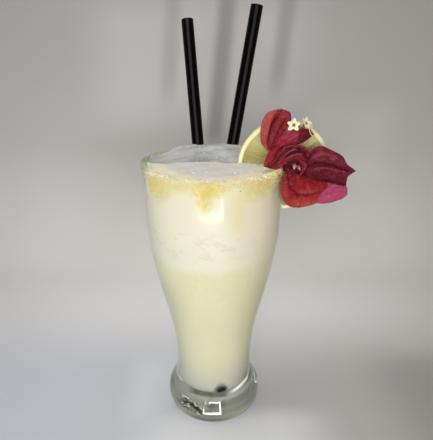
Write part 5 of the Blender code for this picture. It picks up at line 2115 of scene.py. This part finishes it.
@dataclass
class Studio:
    """Pale floor that curves up into a backdrop, soft lamps, a square frame light and the camera."""

    floor_half: float = 1.6
    floor_front: float = -0.75
    wall_at: float = 0.30
    wall_height: float = 1.1
    bend: float = 0.12
    floor_drop: float = 0.0002

    def cards(self) -> None:
        """Makes the floor and the backdrop as one curved card."""
        line = [(self.floor_front, 0.0), (self.wall_at - self.bend, 0.0)]
        for turn in np.linspace(0, 0.5 * math.pi, 16)[1:]:
            line.append(
                (self.wall_at - self.bend + self.bend * math.sin(turn), self.bend * (1 - math.cos(turn)))
            )
        line.append((self.wall_at, self.wall_height))
        points = [(x, y, z - self.floor_drop) for y, z in line for x in (-self.floor_half, self.floor_half)]
        mesh = bpy.data.meshes.new("studio_card")
        faces = [[2 * i, 2 * i + 1, 2 * i + 3, 2 * i + 2] for i in range(len(line) - 1)]
        mesh.from_pydata(points, [], faces)
        mesh.shade_smooth()
        mesh.materials.append(StudioFinish().mixed())
        card = placed("studio_card", mesh)

    def lamps(self) -> None:
        """Hangs the lamps and sets the sky."""
        front = (1.0, 0.985, 0.955)
        Lamp("front", (-0.04, -0.6, 0.26), (0.0, 0.0, 0.12), (0.35, 0.25), 3.2, front, gleams=False).build()
        cool = (0.93, 0.96, 1.0)
        Lamp("left", (-1.2, -0.2, 0.6), (0.0, 0.0, 0.1), (0.8, 0.8), 4.2, cool, gleams=False).build()
        Lamp("top", (-0.1, 0.0, 1.3), (0.0, 0.05, 0.0), (1.3, 1.0), 7.7, (0.97, 0.98, 1.0)).build()
        warm = (1.0, 0.90, 0.80)
        Lamp("right", (1.1, -0.3, 0.35), (0.0, 0.0, 0.12), (0.6, 0.6), 1.9, warm, gleams=False).build()
        Lamp("pool", (0.0, 0.2, 0.9), (0.0, 0.2, 0.0), (0.3, 0.2), 0.14, (1.0, 1.0, 1.0), spread=36.0).build()
        gleam = (1.0, 0.99, 0.93)
        for name, x, z, wide, high, radiance in (
            ("frame_left", -0.0955, 0.0985, 0.012, 0.054, 3.6),
            ("frame_right", 0.0585, 0.0985, 0.014, 0.054, 4.4),
            ("frame_top", -0.0185, 0.122, 0.169, 0.006, 3.0),
            ("frame_foot", -0.0185, 0.0765, 0.169, 0.014, 3.6),
        ):
            watts = radiance * math.pi * wide * high
            Lamp(name, (x, -0.27, z), (x, 0.0, z), (wide, high), watts, gleam, lights=False).build()
        world = bpy.data.worlds.new("sky")
        world.use_nodes = True
        sky = world.node_tree.nodes["Background"]
        sky.inputs["Color"].default_value = (0.80, 0.82, 0.86, 1.0)
        sky.inputs["Strength"].default_value = 0.03
        bpy.context.scene.world = world

    def camera(self) -> None:
        """Sets the camera where the photograph was taken from."""
        view = View()
        lens = bpy.data.cameras.new("camera")
        lens.sensor_fit = "VERTICAL"
        lens.lens = lens.sensor_height * view.focal / view.height
        lens.clip_start = 0.01
        made = placed("camera", lens)
        made.location = Vector(view.place) * MM
        made.rotation_euler = (math.radians(90.0 - view.dip), 0.0, 0.0)
        bpy.context.scene.camera = made

    def build(self) -> None:
        """Makes the studio."""
        self.cards()
        self.lamps()
        self.camera()
        scene = bpy.context.scene
        scene.view_settings.view_transform = "Standard"
        scene.cycles.transparent_max_bounces = 24


def main() -> None:
    """Builds every sub-assembly in order."""
    logging.basicConfig(level=logging.INFO, format="%(message)s")
    Studio().build()
    glass = Glass()
    glass.build()
    straws = [
        Straw("straw_left", (-10.4, 33.6), (-0.0885, 0.3176), 27.0, 246.0),
        Straw("straw_right", (12.3, 33.0), (0.1743, 0.195), 29.0, 248.0),
    ]
    black = Satin().mixed()
    for straw in straws:
        straw.build(glass.height, black)
    Drink(glass, straws).build()
    CitrusWheel().build()
    SugarRim(glass).build()
    Stem().build()
    Flower().build()
    cream = StarFinish().mixed()
    for name, middle, facing, root in (
        ("star_flower_left", (45.5, -16.2, 204.6), (-0.15, -0.85, 0.5), (43.0, -8.4, 194.0)),
        ("star_flower_right", (53.2, -12.6, 204.8), (0.62, -0.62, 0.48), (44.6, -7.4, 194.4)),
        ("star_flower_edge", (55.6, -13.2, 201.0), (0.85, -0.45, 0.25), (45.6, -7.0, 191.6)),
    ):
        StarFlower(name, middle, facing, root).build(cream)
    pink = BudFinish().mixed()
    Bud("bud_long", (46.4, -20.0, 180.2), (47.6, -14.4, 181.6)).build(pink)
    Bud("bud_short", (50.0, -18.8, 179.4), (49.6, -14.2, 180.4)).build(pink)


if __name__ == "__main__":
    main()
